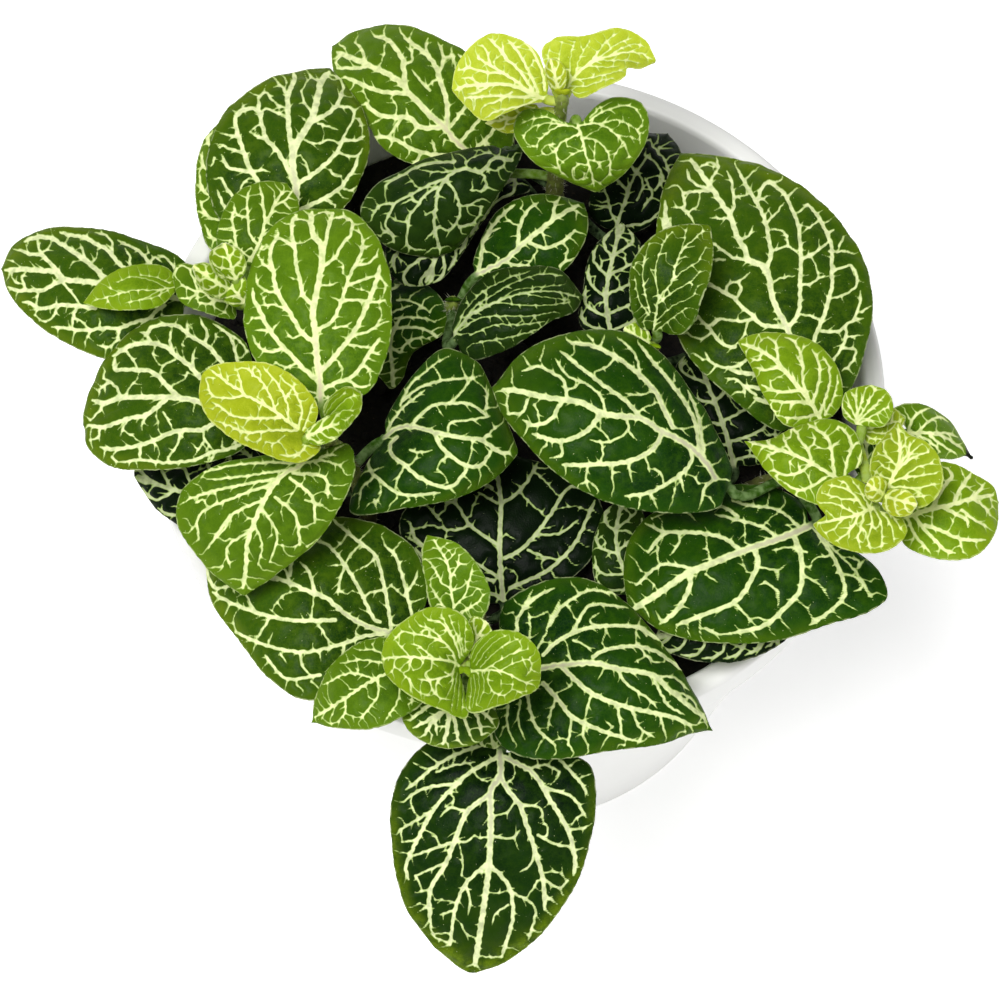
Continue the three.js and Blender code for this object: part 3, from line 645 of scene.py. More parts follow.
8 800,370 793,345 786,325 778,311 772,296 770,283 767,271 761,265 748,259 745,249 739,240 734,227
+ 730,215 723,205 713,190 703,176 691,159
5.5 767,268 771,254 769,240 766,223 761,210 756,201 747,186 739,171
5.5 786,327 793,322 799,310 800,296 800,281 801,266 801,252 800,240 799,227 795,215 790,205 786,196
+ 776,186 769,181 764,185 756,201
3 766,223 776,213 784,203
3 771,252 778,249 788,246 798,253
2.5 788,246 787,235
2.5 773,282 783,277 795,276
5.5 812,347 815,337 820,325 825,313 829,298 832,286 832,271 832,257 832,247 828,235 823,225 820,218
+ 814,210 808,204
3 808,204 799,212
3 820,219 810,227 803,232
4 801,259 812,254 822,247 829,241
3.5 800,285 812,283 820,277 828,276
3.5 832,271 844,267 851,266 856,274 856,286 849,292 837,297 831,298
3 829,251 845,251
3 827,233 834,229
4 822,331 839,331 846,325 854,320 864,318
3.5 854,320 859,305 860,291
4 845,327 846,337 842,347 834,359
2.5 846,337 864,335
3.5 842,348 856,350 851,364 842,371
5.5 786,327 771,326 761,324 751,314 742,307 734,298 725,293 715,287 705,281
3 725,292 730,283 739,281 750,272
4 755,318 744,321 730,320 719,319 706,328
4.5 766,266 756,263 747,259 734,258 725,252 715,244
3 725,260 712,259
3 739,240 749,235 753,226
3 730,218 710,218
4 730,215 734,205 733,193 731,179 727,171
4 713,190 700,191 683,194 685,203 683,208 688,213 694,223
2.5 683,207 671,207
4 710,188 698,185 688,176 687,169
3.5 710,182 714,175 719,166
4.5 735,347 727,346 717,339 711,330 703,322 693,311
3 711,332 703,338 693,337 686,331
3 713,325 720,318
4 745,361 737,366 722,367 710,361 705,352
3.5 756,395 744,386 737,380 725,378
3 744,386 745,397
3 690,280 680,270 672,250
3.5 715,244 700,240 690,230
4 834,359 825,375 818,390
3 756,201 770,195
2 762,268 765,275

right_leaf_under stem_right 0.3 -3 -3 deep 1
795,600,4.8 740,615,8.9 690,628,8.9 652,640,5.8
790,635 745,660 700,662 668,652
770,585 720,590 672,610

far_left_leaf_outer stem_far_left 0.75 -4 -4 olive 1
190,300,11 100,283,16 45,271,13 1,269,8
175,328 120,360 70,345 30,318 8,292
185,262 150,243 100,230 50,228 14,245
7 120,283 100,283 85,281 70,280 62,278 55,272 40,270 25,269 5,270
5 62,278 55,268 47,260 42,255 30,254 20,250
3 42,255 38,245 38,238
6 108,281 97,270 88,262 78,255 68,248 60,243 52,238 35,238 25,242
3 85,260 82,248 80,243
5 127,270 118,262 110,253 105,248 95,243 85,237 70,234 60,232
3 112,253 112,243 107,237 95,233
3 130,268 130,258 125,248
4 150,264 143,255 135,248 125,243 118,240
2.5 150,263 155,257 162,262
3 175,268 165,257 158,255
5 62,280 52,285 43,290 30,290 15,290 8,287
3 25,290 22,277 25,272
3 63,283 75,297 80,305
2.5 38,290 36,303 35,308
5 95,308 78,306 60,305 45,308 37,308 30,303 22,302
3 58,307 52,318 45,322
3.5 77,306 73,318 72,328
4.5 165,305 155,312 150,318 135,322 120,328 105,328 90,330 78,330 65,328 52,327
3 120,328 117,340 108,347 97,345
2.5 90,332 85,342
2.5 100,328 99,318
2.5 37,308 34,315

far_left_leaf_small stem_far_left 0.88 -1 -1 lime 0.42
178,284,19 130,289,22 83,303,18
160,306 133,310 104,309
166,267 135,264 104,278
3 175,287 155,290 135,290 115,295 95,300
2 165,287 150,280 130,277 118,282
2 170,283 155,277 140,275
2.5 160,290 145,298 125,303
2 120,293 110,288
2 168,290 155,297 142,300

far_left_leaf_fore stem_far_left 0.8 -1 -1 mid 1
238,302,20 205,292,23 172,276,22
235,318 203,312 180,301
222,280 198,266 178,264
3 232,303 218,300 210,298 205,292 195,291 182,285
2.5 197,293 190,298 182,298
2.5 197,293 198,302
2.5 200,303 213,303 215,298
2 228,303 225,312

far_left_leaf_up stem_far_left 0.8 -1 -1 mid 1
245,268,20 256,240,23 270,212,24 287,183,23
218,250 222,215 240,190 265,181
264,258 287,235 299,203
4 250,260 256,250 262,235 265,222 270,215 275,203 282,193
3.5 265,220 263,205 262,195 260,188
3 256,243 250,235 248,220 247,205 248,193
2.5 248,217 238,215 234,208
3 236,245 234,230 232,218 235,208
2.5 275,205 285,200 293,190
2.5 262,235 275,230 288,220
2 250,258 240,250 230,240
2 258,247 270,243 282,235

far_left_leaf_large stem_far_left 0.6 -4 -4 olive 1
278,240,10 296,190,17 302,145,20 318,105,18 330,68,12
240,242 210,200 208,150 228,108 268,80 300,71
330,222 360,182 370,140 362,108 345,84
9 292,215 296,192 293,170 293,155 296,145 305,130 313,115 318,95 322,80 329,72
6.5 293,155 289,130 288,110 288,95 294,80 294,71
3 288,95 280,85 273,78
5.5 292,178 283,160 275,148 267,140 262,125 259,110 258,98
3 267,140 255,135 250,132
3 262,115 265,108 275,112 285,115
3 259,97 265,92 275,103 285,108
5.5 262,190 258,182 248,165 243,150 238,135 236,118 243,110 253,108 259,112
3 236,137 225,134
3.5 240,152 228,148 220,144
3 243,110 242,102
4.5 252,172 240,170 228,167 222,155
4 245,205 232,195 225,185 222,178
5.5 315,120 328,113 338,103 342,92 344,87
3 340,106 350,108 354,112 352,122 346,132 342,143
5.5 298,183 312,175 322,167 330,160 337,152 342,143
2.5 318,123 327,126 338,130
2.5 305,140 312,143 320,143
3.5 343,140 355,140 365,136
3 338,152 350,156 358,155 363,148
5 300,210 315,203 330,195 340,188 348,178 355,168 358,157
2.5 344,189 352,190 357,186
3 326,200 335,205
3 345,207 355,200
3 312,112 305,103 301,90
3 318,80 311,76
3 252,172 262,170 270,172

far_left_leaf_behind stem_far_left 0.45 -3 -3 mid 1
245,240,4 240,190,8 232,150,8 222,120,5
212,250 198,215 196,170 204,140
270,225 275,180 255,140

back_leaf_yellow_left stem_back 0.96 2 2 pale 1.2
549,98,37 522,86,40 490,80,41 452,90,38
532,103 507,112 485,120 464,104
546,76 536,51 513,37 490,34 468,49 455,70
4 543,98 530,92 518,87 505,84 492,84 480,85 465,86 455,90
3 528,92 518,82 508,76 490,65 478,58
2.5 500,73 485,72 470,68 458,70
3 532,90 525,78 517,68 508,60 500,50 493,42 488,38
2.5 505,58 503,50 502,42
3 538,92 533,80 527,68 522,58 515,48 508,40
3 545,90 543,75 538,62 532,50 525,42
3 535,95 520,97 505,96 490,96 475,97 465,98
2.5 538,98 525,105 510,108 495,112 485,118
2.5 512,92 500,100 485,105
2.5 490,65 487,52 482,45
2.5 480,85 470,78 462,78
2.5 490,84 478,92 468,94

back_leaf_yellow_right stem_back 0.96 2 2 pale 0.62
566,90,37 582,70,40 612,55,41 656,61,38
551,77 542,51 556,38 586,36 618,28 645,40
580,98 604,87 625,76 627,68 640,68
4 566,90 572,80 582,69 595,61 612,55 628,52 640,53 652,59
2.8 580,71 590,62 598,52 606,42 614,35
2.8 592,63 605,53 617,44 632,38
2.4 610,55 622,48 636,44 645,47
2.4 575,78 578,63 584,50 590,41
2.4 570,82 570,63 572,50 575,41
2.2 564,86 558,70 560,52 562,42
2.2 560,86 550,72 548,58 550,46
2 554,80 545,66 542,54
2.6 573,80 588,78 603,75 620,70
2.4 570,86 584,86 598,82 613,78
2.4 568,90 578,93 588,91
2.2 600,60 613,60 627,60 640,63
2.2 590,66 605,67 618,66

back_leaf_heart stem_back 0.78 -2 -2 bright 0.62
578,122,36 583,145,36 590,168,34 597,192,28
596,106 615,97 641,102 649,128 638,158 617,180
560,120 545,110 520,113 514,134 535,163 570,183
4.5 577,122 580,132 583,142 586,155 589,165 592,175 594,186
3.5 580,133 570,138 562,142 556,150 557,160 560,170 568,178
2.5 557,150 545,155 542,150 548,145 556,144
3 578,128 565,125 555,128 545,135 538,142 537,150
2.5 565,125 550,123 538,125 528,130 523,138
2 562,122 545,117 530,120 520,125
2.5 584,150 575,153 565,160 560,165
3 588,165 578,165 572,172 575,180 588,178
3.5 580,125 595,123 607,127 617,135 625,145 630,157
3.5 582,138 595,140 605,148 610,160 610,175
3 600,124 615,120 630,125 638,132 640,145
3 590,120 600,113 612,108 625,105 635,108 643,120
2 590,117 600,108 612,102
2.5 617,135 630,137 638,140
2.5 590,160 600,162 608,160
2.5 625,145 618,150 613,160
2 598,163 604,172

back_leaf_far stem_back 0.55 -4 -4 mid 1.12
480,160,11 430,108,17 380,68,16 332,46,9
430,168 385,150 360,110 335,78
512,148 505,100 478,62 440,38 395,24 352,33
7 480,160 470,153 455,140 443,125 430,115 418,102 408,92 403,85 390,75 375,68 362,62 350,57 337,52
5.5 443,127 420,127 410,118 395,117 380,115 370,108 366,103
3 408,118 406,108
5 405,93 385,92 370,88 357,82 345,77
5.5 405,85 404,70 402,58 393,45 385,38 375,36
4 365,67 350,68 337,68
3.5 364,62 362,50 355,42
5.5 447,128 447,105 445,95 440,80 435,65 428,55 415,45 405,38
3 428,55 426,45 428,38
3.5 438,75 443,62 442,50 438,42
2.5 443,60 452,55 456,68
3 402,65 412,60 410,45
4.5 455,155 440,155 425,153 410,148 400,142 385,137 373,137
3 400,120 393,130 388,138
3 435,150 432,140
3 420,155 415,163 405,168 397,160
3 430,90 420,80 412,70

back_leaf_arching stem_back 0.7 -5 -5 shade 1
508,148,17 470,166,22 447,200,21 437,258,12
522,150 515,170 498,195 478,222 455,250
460,150 410,165 372,190 361,214 375,238 400,253
4 512,160 495,158 480,172 465,168 452,173 445,180 438,192 436,205 434,220 436,235 440,250
3 445,180 452,187 458,200 460,212 457,222 450,230 438,228
3 437,187 425,195 418,205 410,215 408,228 407,245 415,250
3 447,178 430,184 410,195 395,203 390,212 385,225 392,235 394,243
2.5 392,203 380,205 372,215
2.5 440,226 425,240
2.5 475,168 485,178 485,190 470,190
2 465,168 440,172 420,170
2.5 458,205 468,206 478,200
2 437,210 425,215
2 500,158 505,162 498,170 485,168
2 420,203 410,200 400,205
2.5 392,235 382,230 380,222

back_leaf_right stem_back 0.45 -3 -3 deep 1
616,235,5 635,200,10 650,165,11 668,133,7
590,215 598,170 630,135
650,225 678,190 682,155
3 616,228 625,200 635,175 648,155
2.5 618,225 612,215 608,200 603,185
2.5 625,205 628,190 628,178
2.5 637,200 643,185 636,168
2.5 645,205 652,195 645,178
2.5 655,190 663,178 655,162 645,155
2.5 670,175 665,160 655,148 650,140

back_leaf_low stem_back 0.3 -2 -2 deep 1
512,172,-2 455,128,3 395,82,4
455,165 405,132 385,100
512,120 480,80 430,62

middle_leaf_upright stem_middle 0.95 2 2 olive 0.45
657,334,23 656,298,27 672,262,30 710,226,29
638,325 629,290 638,252 665,229 692,224
684,333 702,300 713,258
4 652,340 656,315 659,298 669,286 672,281 676,264 683,249 693,240 703,231
3 659,298 656,281 656,266 660,252 665,240 672,232
3 650,312 644,288 643,271 646,254 649,243
2.5 649,315 639,300 635,276
3 673,279 686,269 698,261 706,247
3 659,303 674,291 691,281 700,271
2.5 657,320 674,305 693,296 698,286
2.5 655,332 671,319 686,308
2.5 681,252 685,237 686,230
2 640,275 632,265
2 656,281 650,268

middle_leaf_shaded stem_middle 0.6 -2 -2 deep 1
612,340,7 606,300,11 612,260,12 622,222,9
580,325 583,290 592,250
640,325 643,285 642,245

middle_leaf_low stem_middle 0.45 -2 -2 deep 1
700,345,-2 745,300,3 812,232,3
698,290 720,235 770,205
755,350 815,315 835,260

inner_leaf_ribbed stem_inner 0.9 -4 -4 shade 0.5
452,341,11 500,302,17 545,290,18 584,297,12
462,300 485,276 520,267 560,271
470,360 510,348 548,324 575,310
4 447,343 470,315 500,300 530,292 560,292 578,297
3 450,340 465,318 480,303 500,290 520,280 545,273 562,276
2.5 452,335 462,315 475,298 490,287 510,277 530,271
2.5 475,313 495,303 520,305 550,305 570,302
3 460,330 480,318 505,316 530,316 555,312
3 470,335 495,325 520,325 545,322
3 480,342 505,338 530,332 550,325
2 500,300 515,290 535,287 560,285
2 520,293 545,297 570,300
2 505,316 512,328
2 480,303 490,307

inner_leaf_back stem_inner 0.75 -3 -3 dark 1.1
474,276,7 520,242,13 552,222,14 584,203,12
478,245 497,212 532,195 566,197
510,285 560,274 583,245 588,220
6 475,275 490,268 505,260 525,242 540,230 555,218 578,205
4 478,272 481,255 483,240 495,222 515,205
4 518,245 520,225 528,210 538,202
4 553,218 555,205 560,197
4 530,243 545,248 555,245 565,240 575,230
3 505,262 515,265 528,265
3 560,266 565,262 575,258
3 483,240 490,232 500,228

inner_leaf_behind stem_inner 0.7 -3 -3 dark 1
398,280,2 393,315,6 391,350,7 392,389,2
425,284 445,305 444,332 412,355 402,378
365,290 352,320 362,350 378,375
5 393,385 392,365 390,345 394,330 400,318
3 390,347 400,352 405,345 412,340 422,337
3.5 394,328 405,327 420,328 432,333 440,340
2.5 393,312 403,308 412,305
2.5 395,318 410,317 425,318 435,322
2.5 397,300 408,300 420,305 430,312
2.5 392,360 398,358
2.5 383,320 372,325 365,335

inner_leaf_under stem_back 0.5 -3 -3 deep 1
520,172,8 475,205,13 445,240,13 424,286,8
530,190 503,200 482,222 462,255 442,280
450,190 405,220 385,255 400,284

centre_leaf stem_right 0.57 -5 -5 dark 1
734,490,17 702,457,23 650,422,28 594,406,30 540,396,29 491,388,25
718,508 665,513 610,503 562,478 527,445 501,412
733,470 716,430 690,388 660,352 625,332 590,330 550,338 515,358
8 716,478 700,455 680,440 660,430 640,418 620,416 600,412 580,402 560,399 540,396 520,391 503,389
4 567,397 563,380 548,370 538,366 522,371
3 605,409 600,395 585,383 568,376 555,358
5 638,413 625,400 600,382 580,366 560,350
6 673,427 665,410 655,390 640,375 610,353 590,345 572,343
3 640,378 636,355 617,336
5 700,452 697,430 690,410 680,395 665,375 642,347
4 704,457 703,440 695,405 688,390
4 527,400 522,412 508,414
5 562,400 557,410 550,420 532,425 523,420
6 600,414 590,428 580,435 560,441 532,434
3 560,441 562,455 550,458
3 627,420 628,430 608,442 590,440
6 663,432 655,447 640,457 620,463 600,464 580,465 562,465
2.5 588,465 586,480 590,492
2.5 613,464 612,478
2.5 628,461 632,482
2.5 645,454 650,472
5 690,447 692,460 680,475 650,492 625,496
3 680,475 684,492
3 650,492 655,503
4 716,478 705,487 702,500
2.5 600,464 603,452 600,440
2.5 655,390 640,395 625,393

centre_leaf_shaded stem_right_inner 0.7 -2 -2 deep 1
735,470,0 725,430,4 708,385,5 693,345,3
700,470 683,420 675,370
780,455 775,410 745,370 715,345

centre_leaf_narrow stem_right_inner 0.5 -2 -2 shade 1
645,592,-1 622,565,3 616,530,4 625,495,2
600,590 592,550 603,515
655,580 650,540 642,510
"""

# Leaves of a few millimetres at the stems' tips and low on them, which are parts of the stems.
TINY_LEAF_TABLE = """
stem_far_left_bud_0 stem_far_left 0.95 2 2 lime 1
236,281,28 230,262,31 224,243,32
216,274 210,254
246,268 240,251

stem_far_left_bud_1 stem_far_left 0.93 2 2 lime 1
230,290,27 212,280,30 193,266,31
222,299 201,288
224,276 206,263

stem_left_bud_2 stem_left 0.99 1 1 lime 1
305,438,37 325,428,39 349,420,38
312,426 331,415 344,412
318,445 338,437

stem_far_left_bud_3 stem_far_left 0.97 1 1 lime 1
245,304,25 236,292,27 221,277,27
233,306 217,292
249,286 237,271

stem_front_bud_4 stem_front 0.6 1 1 dark 1
480,700,13 488,726,12 495,749,8
503,716 512,738
468,722 477,744

stem_right_bud_5 stem_right 0.8 1 1 dark 1
874,492,18 868,468,19 866,436,17
862,482 851,458 854,438
884,478 882,452 874,437

stem_right_bud_6 stem_right 0.99 1 1 yellow 1
885,494,33 877,490,35 867,484,35
880,502 871,500 865,492
888,484 881,477 872,477

stem_right_bud_7 stem_right 0.985 1 1 yellow 1
884,496,33 898,500,36.5 917,505,37
889,490 902,489 913,495
882,506 893,515 909,515

stem_front_bud_8 stem_front 0.99 1 1 lime 1
470,661,31 475,642,32 487,622,32
463,645 466,627 475,616
481,655 493,636

stem_back_bud_9 stem_back 0.99 1 1 yellow 1
557,91,39 555,76,42 550,59,43
549,84 545,69
565,87 566,73 560,62

stem_back_bud_10 stem_back 0.9 0 0 yellow 1
541,110,33 515,117,33 485,123,31
532,124 507,133
533,104 505,107

stem_middle_bud_11 stem_middle 0.97 1 1 lime 1
650,344,22 638,337,23 624,328,22
644,349 630,344
647,330 636,322
"""


def read_points(words):
    return [tuple(map(float, word.split(","))) for word in words]


def read_leaves(text):
    leaves = {}
    for block in text.strip().split("\n\n"):
        head, spine, left, right, *lines = block.splitlines()
        name, stem, node, rise_left, rise_right, tone, vein_scale = head.split()
        veins = []
        for line in lines:
            first, *words = line.split()
            if first == "+":
                veins[-1][1].extend(read_points(words))
            else:
                veins.append((float(first) * float(vein_scale), read_points(words)))
        leaves[name] = {
            "stem": stem, "node": float(node), "rise": (float(rise_left), float(rise_right)),
            "tone": tone, "vein_scale": float(vein_scale), "spine": read_points(spine.split()),
            "left": read_points(left.split()), "right": read_points(right.split()), "veins": veins,
        }
    return leaves


LEAVES = read_leaves(LEAF_TABLE)
TINY_LEAVES = read_leaves(TINY_LEAF_TABLE)
DRIED_LEAF = "right_leaf_outer"

# ---- Curves ---------------------------------------------------------------------------------------
CURVE_SAMPLES = 200
SHORTEST, SHORTEST_STEP = 1e-9, 1e-4  # these keep a division from failing
# How a stem bends, as shares of its length: how far it rises first, how far its top leans back
# towards its root, and how much higher it would pass there.
STEM_RISE, STEM_LEAN, STEM_TOP_RISE = 0.55, 0.3, 0.12
SEEDS, SEED_SPACING = 1 << 30, 7
WAVE_COUNT = 6
WAVE_SIZES = (0.7, 1.6)
WAVE_PEAK = 3.2  # what the sum of the waves hardly ever passes


def unit(vectors):
    size = np.linalg.norm(vectors, axis=-1, keepdims=True)
    return vectors / np.maximum(size, SHORTEST)


def smooth(low, high, value):
    t = np.clip((value - low) / (high - low), 0, 1)
    return t * t * (3 - 2 * t)


def lengths_along(points):
    """How long the line through the points is up to each of them."""
    steps = np.linalg.norm(np.diff(points, axis=0), axis=1)
    return np.concatenate([[0], np.cumsum(steps)])


class SmoothCurve:
    """A centripetal Catmull-Rom curve through points, read by its share of the length."""

    def __init__(self, points):
        p = np.asarray(points, float)
        p = np.vstack([2 * p[0] - p[1], p, 2 * p[-1] - p[-2]])
        steps = np.maximum(np.linalg.norm(np.diff(p, axis=0), axis=1) ** 0.5, SHORTEST_STEP)
        spans = len(p) - 3
        place_on = np.linspace(0, spans, CURVE_SAMPLES + 1)
        span = np.minimum(place_on.astype(int), spans - 1)
        t = (place_on - span)[:, None]
        p0, p1, p2, p3 = (p[span + k] for k in range(4))
        d0, d1, d2 = (steps[span + k][:, None] for k in range(3))
        m1 = ((p1 - p0) / d0 - (p2 - p0) / (d0 + d1) + (p2 - p1) / d1) * d1
        m2 = ((p2 - p1) / d1 - (p3 - p1) / (d1 + d2) + (p3 - p2) / d2) * d1
        a = 2 * p1 - 2 * p2 + m1 + m2
        b = -3 * p1 + 3 * p2 - 2 * m1 - m2
        self.samples = ((a * t + b) * t + m1) * t + p1
        self.along = lengths_along(self.samples)
        self.length = self.along[-1]

    def at(self, share):
        wanted = np.asarray(share) * self.length
        return np.stack([np.interp(wanted, self.along, c) for c in self.samples.T], axis=-1)


class Bezier:
    """A cubic Bezier curve in space, read by its own parameter."""

    def __init__(self, *corners):
        self.corners = [np.asarray(c, float) for c in corners]
        self.t = np.linspace(0, 1, CURVE_SAMPLES + 1)
        self.along = lengths_along(self.point(self.t))
        self.length = self.along[-1]

    def point(self, t):
        t = np.asarray(t, float)[..., None]
        a, b, c, d = self.corners
        return a * (1 - t) ** 3 + 3 * b * t * (1 - t) ** 2 + 3 * c * t * t * (1 - t) + d * t**3

    def tangent(self, t):
        t = np.asarray(t, float)[..., None]
        a, b, c, d = self.corners
        return unit((b - a) * (1 - t) ** 2 + 2 * (c - b) * t * (1 - t) + (d - c) * t * t)

    def parameter(self, share):
        """The parameter at a share of the length."""
        return np.interp(np.asarray(share) * self.length, self.along, self.t)


def stem_curve(stem):
    x, y = stem["root"]
    bottom = np.array([x, y, SOIL_TOP - STEM_DEPTH_IN_SOIL])
    top = place(*stem["tip"])
    length = np.linalg.norm(top - bottom)
    risen = bottom + [0, 0, STEM_RISE * length]
    leaning = top + STEM_LEAN * (bottom - top) + [0, 0, STEM_TOP_RISE * length]
    return Bezier(bottom, risen, leaning, top)


def stem_radius(share):
    return STEM_RADIUS + (STEM_TIP_RADIUS - STEM_RADIUS) * share


def name_seed(name):
    return sum(map(ord, name))


def waves(points, seed, size=1.0):
    """A smooth random height in -1 to 1 at each point, whose bumps are about size apart."""
    chance = np.random.default_rng(seed)
    total = np.zeros(points.shape[:-1])
    for _ in range(WAVE_COUNT):
        way = unit(chance.normal(size=points.shape[-1]))
        pace = TURN / (size * chance.uniform(*WAVE_SIZES))
        total += np.sin(points @ way * pace + chance.uniform(0, TURN))
    return total / WAVE_PEAK


# ---- Veins ----------------------------------------------------------------------------------------
# Lengths are in units of the view here, and t runs from the left margin, -1, to the right, 1.
SAMPLE_STEP = 1.0
WIDTH_SCALE = 0.83  # what a vein's width is beside what is drawn
VEIN_TAPER = 0.2  # the share of its width that a vein loses on its way
END_TAPER = 6.0  # the length of a vein's end that narrows, to half
SWAY, SWAY_SIZE, SWAY_FADE = 0.4, 9.0, 4.0
SWELL, SWELL_SIZE = 0.10, 7.0
THINNEST_SPURRED = 1.2
SPUR_EVERY = 16.0
SPUR_GAPS = (0.4, 1.6)  # as shares of SPUR_EVERY
SPUR_FREE_END = 2
SPUR_TURN = (0.8, 1.35)
SPUR_BEND = (-0.4, 0.5)
SPUR_LENGTH = (3.0, 8.5)
SPUR_STEP = 0.6
SPUR_TIP = 0.2  # a spur's radius at its tip, and how much more it has at its root
SPUR_ROOT = 0.36
SPUR_ROOT_SHARE = 0.6  # of the vein's own radius, at most
SPUR_SCALE, SPUR_FULL_SIZE = 0.35, 230  # spurs are shorter on a small leaf

FIELD_TILE = 40
FIELD_REACH = 22.0
FIELD_BATCH = 1500
WEB = 0.75  # how far two veins that meet are webbed together
LEAST_SUM = 1e-12  # keeps the logarithm far from all veins from failing

NET_POINTS = 14
NET_THICK, NET_THICK_SIZE = 2.4, 50  # the midrib of a net, and the leaf size that adds 1 to it
NET_PAIR_EVERY, NET_FEWEST_PAIRS = 24, 4
NET_STARTS, NET_OFFSET = (0.03, 0.86), 0.02  # where side veins leave the midrib, as s
NET_LEAN, NET_LEAN_LOSS = 0.20, 0.4
NET_LAST, NET_TWIG_LAST = 0.97, 0.98
NET_ARCH = [(0, 0), (0.25, 0.24), (0.5, 0.50), (0.78, 0.74), (1.15, 0.86), (1.5, 0.90)]
NET_TWIG = [(0.95, 0.82), (1.2, 0.96)]
NET_ARCH_THICK, NET_TWIG_THICK = 0.62, 0.36

OWN_REACH = 20.0  # a vein by rule gets this far from every drawn one somewhere on its way
JOIN_REACH = 3.0  # and ends this near to one
RUN_STEP, RUN_LEAST, RUN_ON = 2, 3, 2
KNOWN_EVERY = 3  # of so many discs of the drawn veins one is enough to keep clear of them
TIED_EVERY = 2

TIE_SPACING, TIE_SPACING_SIZE = 6, 10
TIE_NARROWEST, TIE_NARROWEST_SIZE = 2.4, 70
TIE_WIDEST = 17
TIE_ROW, TIE_COLUMN = 2.4, 2.8
TIE_S, TIE_T = (0.02, 0.975), (-0.95, 0.95)
TIE_FACING = -0.72  # how squarely a tie's two veins face each other
TIE_BALANCE, TIE_SLACK = 1.25, 1.0  # how much farther than the nearer vein the other may be
TIE_SWAY, TWIG_SWAY = 0.9, 0.8
TIE_WHOLE = 0.65  # the share of ties that reach their second vein
TIE_THICK, TIE_THICK_SIZE = 0.8, 200
TIE_THICKNESS, TWIG_THICKNESS = (0.8, 1.3), (0.8, 1.2)
TIE_SPURRED_SIZE = 90
TWIG_ROOM = 15.0  # how near the margin the twigs pass
TWIG_START = 14.0  # how far from there the vein is that they leave
TWIG_SPACING = 0.46  # as a share of the spacing of the ties
TWIG_FACING = 0.35
TWIG_REACH = (0.5, 0.85)
TRUNK_SHARE = 0.7  # a vein at least this thick beside the thickest is a trunk


class Veins:
    """Discs (across, down, radius, vein) that together cover a leaf's veins."""

    def __init__(self, seed, size):
        self.chance = np.random.default_rng(seed)
        self.spur_scale = min(1.0, SPUR_SCALE + size / SPUR_FULL_SIZE)
        self.discs = []
        self.count = 0

    def stack(self):
        return np.vstack(self.discs)

    def put(self, points, radius):
        self.discs.append(np.column_stack([points, radius, np.full(len(points), self.count)]))
        self.count += 1

    def draw(self, path, width, spurs=True):
        """One vein, wavering and tapering, with small pointed spurs at its sides."""
        chance = self.chance
        curve = SmoothCurve(path)
        count = max(3, int(curve.length / SAMPLE_STEP))
        share = np.linspace(0, 1, count)
        reach = (share * curve.length)[:, None]
        points = curve.at(share)
        ahead = unit(np.gradient(points, axis=0))
        side = np.stack([-ahead[:, 1], ahead[:, 0]], axis=1)
        sway = waves(reach, chance.integers(SEEDS), SWAY_SIZE)
        fade = smooth(0, SWAY_FADE, np.minimum(share, 1 - share) * curve.length)
        points = points + side * (SWAY * sway * fade)[:, None]
        swell = waves(reach, chance.integers(SEEDS), SWELL_SIZE)
        radius = 0.5 * WIDTH_SCALE * width * (1 - VEIN_TAPER * share) * (1 + SWELL * swell)
        radius *= 0.5 + 0.5 * smooth(0, END_TAPER, (1 - share) * curve.length)
        self.put(points, radius)
        at = chance.uniform(SPUR_FREE_END, SPUR_EVERY)
        while spurs and width > THINNEST_SPURRED and at < curve.length - SPUR_FREE_END:
            k = int(at / curve.length * (count - 1))
            hand = chance.choice([-1, 1])
            turn = chance.uniform(*SPUR_TURN)
            way = ahead[k] * math.cos(turn) + side[k] * hand * math.sin(turn)
            bend = ahead[k] * chance.uniform(*SPUR_BEND)
            length = radius[k] + chance.uniform(*SPUR_LENGTH) * self.spur_scale
            steps = np.arange(0, length, SPUR_STEP)
            part = (steps / length)[:, None]
            thick = SPUR_TIP + min(SPUR_ROOT_SHARE * radius[k], SPUR_ROOT) * (1 - part[:, 0])
            self.put(points[k] + steps[:, None] * (way + bend * part), thick)
            at += chance.uniform(*SPUR_GAPS) * SPUR_EVERY


def net_paths(outline, size):
    """Veins for the parts of a leaf that no drawn vein reaches: a midrib, and side veins that arch
    forward and meet."""
    at = lambda s, t: outline(np.array([s]), np.array([t]))[0]
    pairs = max(NET_FEWEST_PAIRS, int(round(size / NET_PAIR_EVERY)))
    thick = NET_THICK + size / NET_THICK_SIZE
    paths = [(thick, [at(s, 0.0) for s in np.linspace(0.0, NET_LAST, NET_POINTS)])]
    for side in (-1, 1):
        for start in np.linspace(*NET_STARTS, pairs) + (NET_OFFSET if side > 0 else 0):
            lean = NET_LEAN * (1 - NET_LEAN_LOSS * start)
            for bow, last, share in (
                (NET_ARCH, NET_LAST, NET_ARCH_THICK), (NET_TWIG, NET_TWIG_LAST, NET_TWIG_THICK)
            ):
                path = [at(min(start + lean * a, last), side * t) for a, t in bow]
                paths.append((share * thick, path))
    return paths


def far_parts(path, drawn):
    """The runs of a path that lie clear of every drawn vein, each carried on until it meets one."""
    curve = SmoothCurve(path)
    points = curve.at(np.linspace(0, 1, max(3, int(curve.length / RUN_STEP))))
    gap = np.min(np.linalg.norm(points[:, None] - drawn[None, :, :2], axis=2) - drawn[:, 2], axis=1)
    runs = []
    start = None
    for k, clear in enumerate(np.append(gap > JOIN_REACH, False)):
        if clear and start is None:
            start = k
        elif not clear and start is not None:
            if k - start > RUN_LEAST and gap[start:k].max() > OWN_REACH:
                runs.append(points[max(start - RUN_ON, 0) : k + RUN_ON])
            start = None
    return runs


def clear_of(points, p, spacing):
    return not points or np.min(np.hypot(*(np.array(points) - p).T)) > spacing


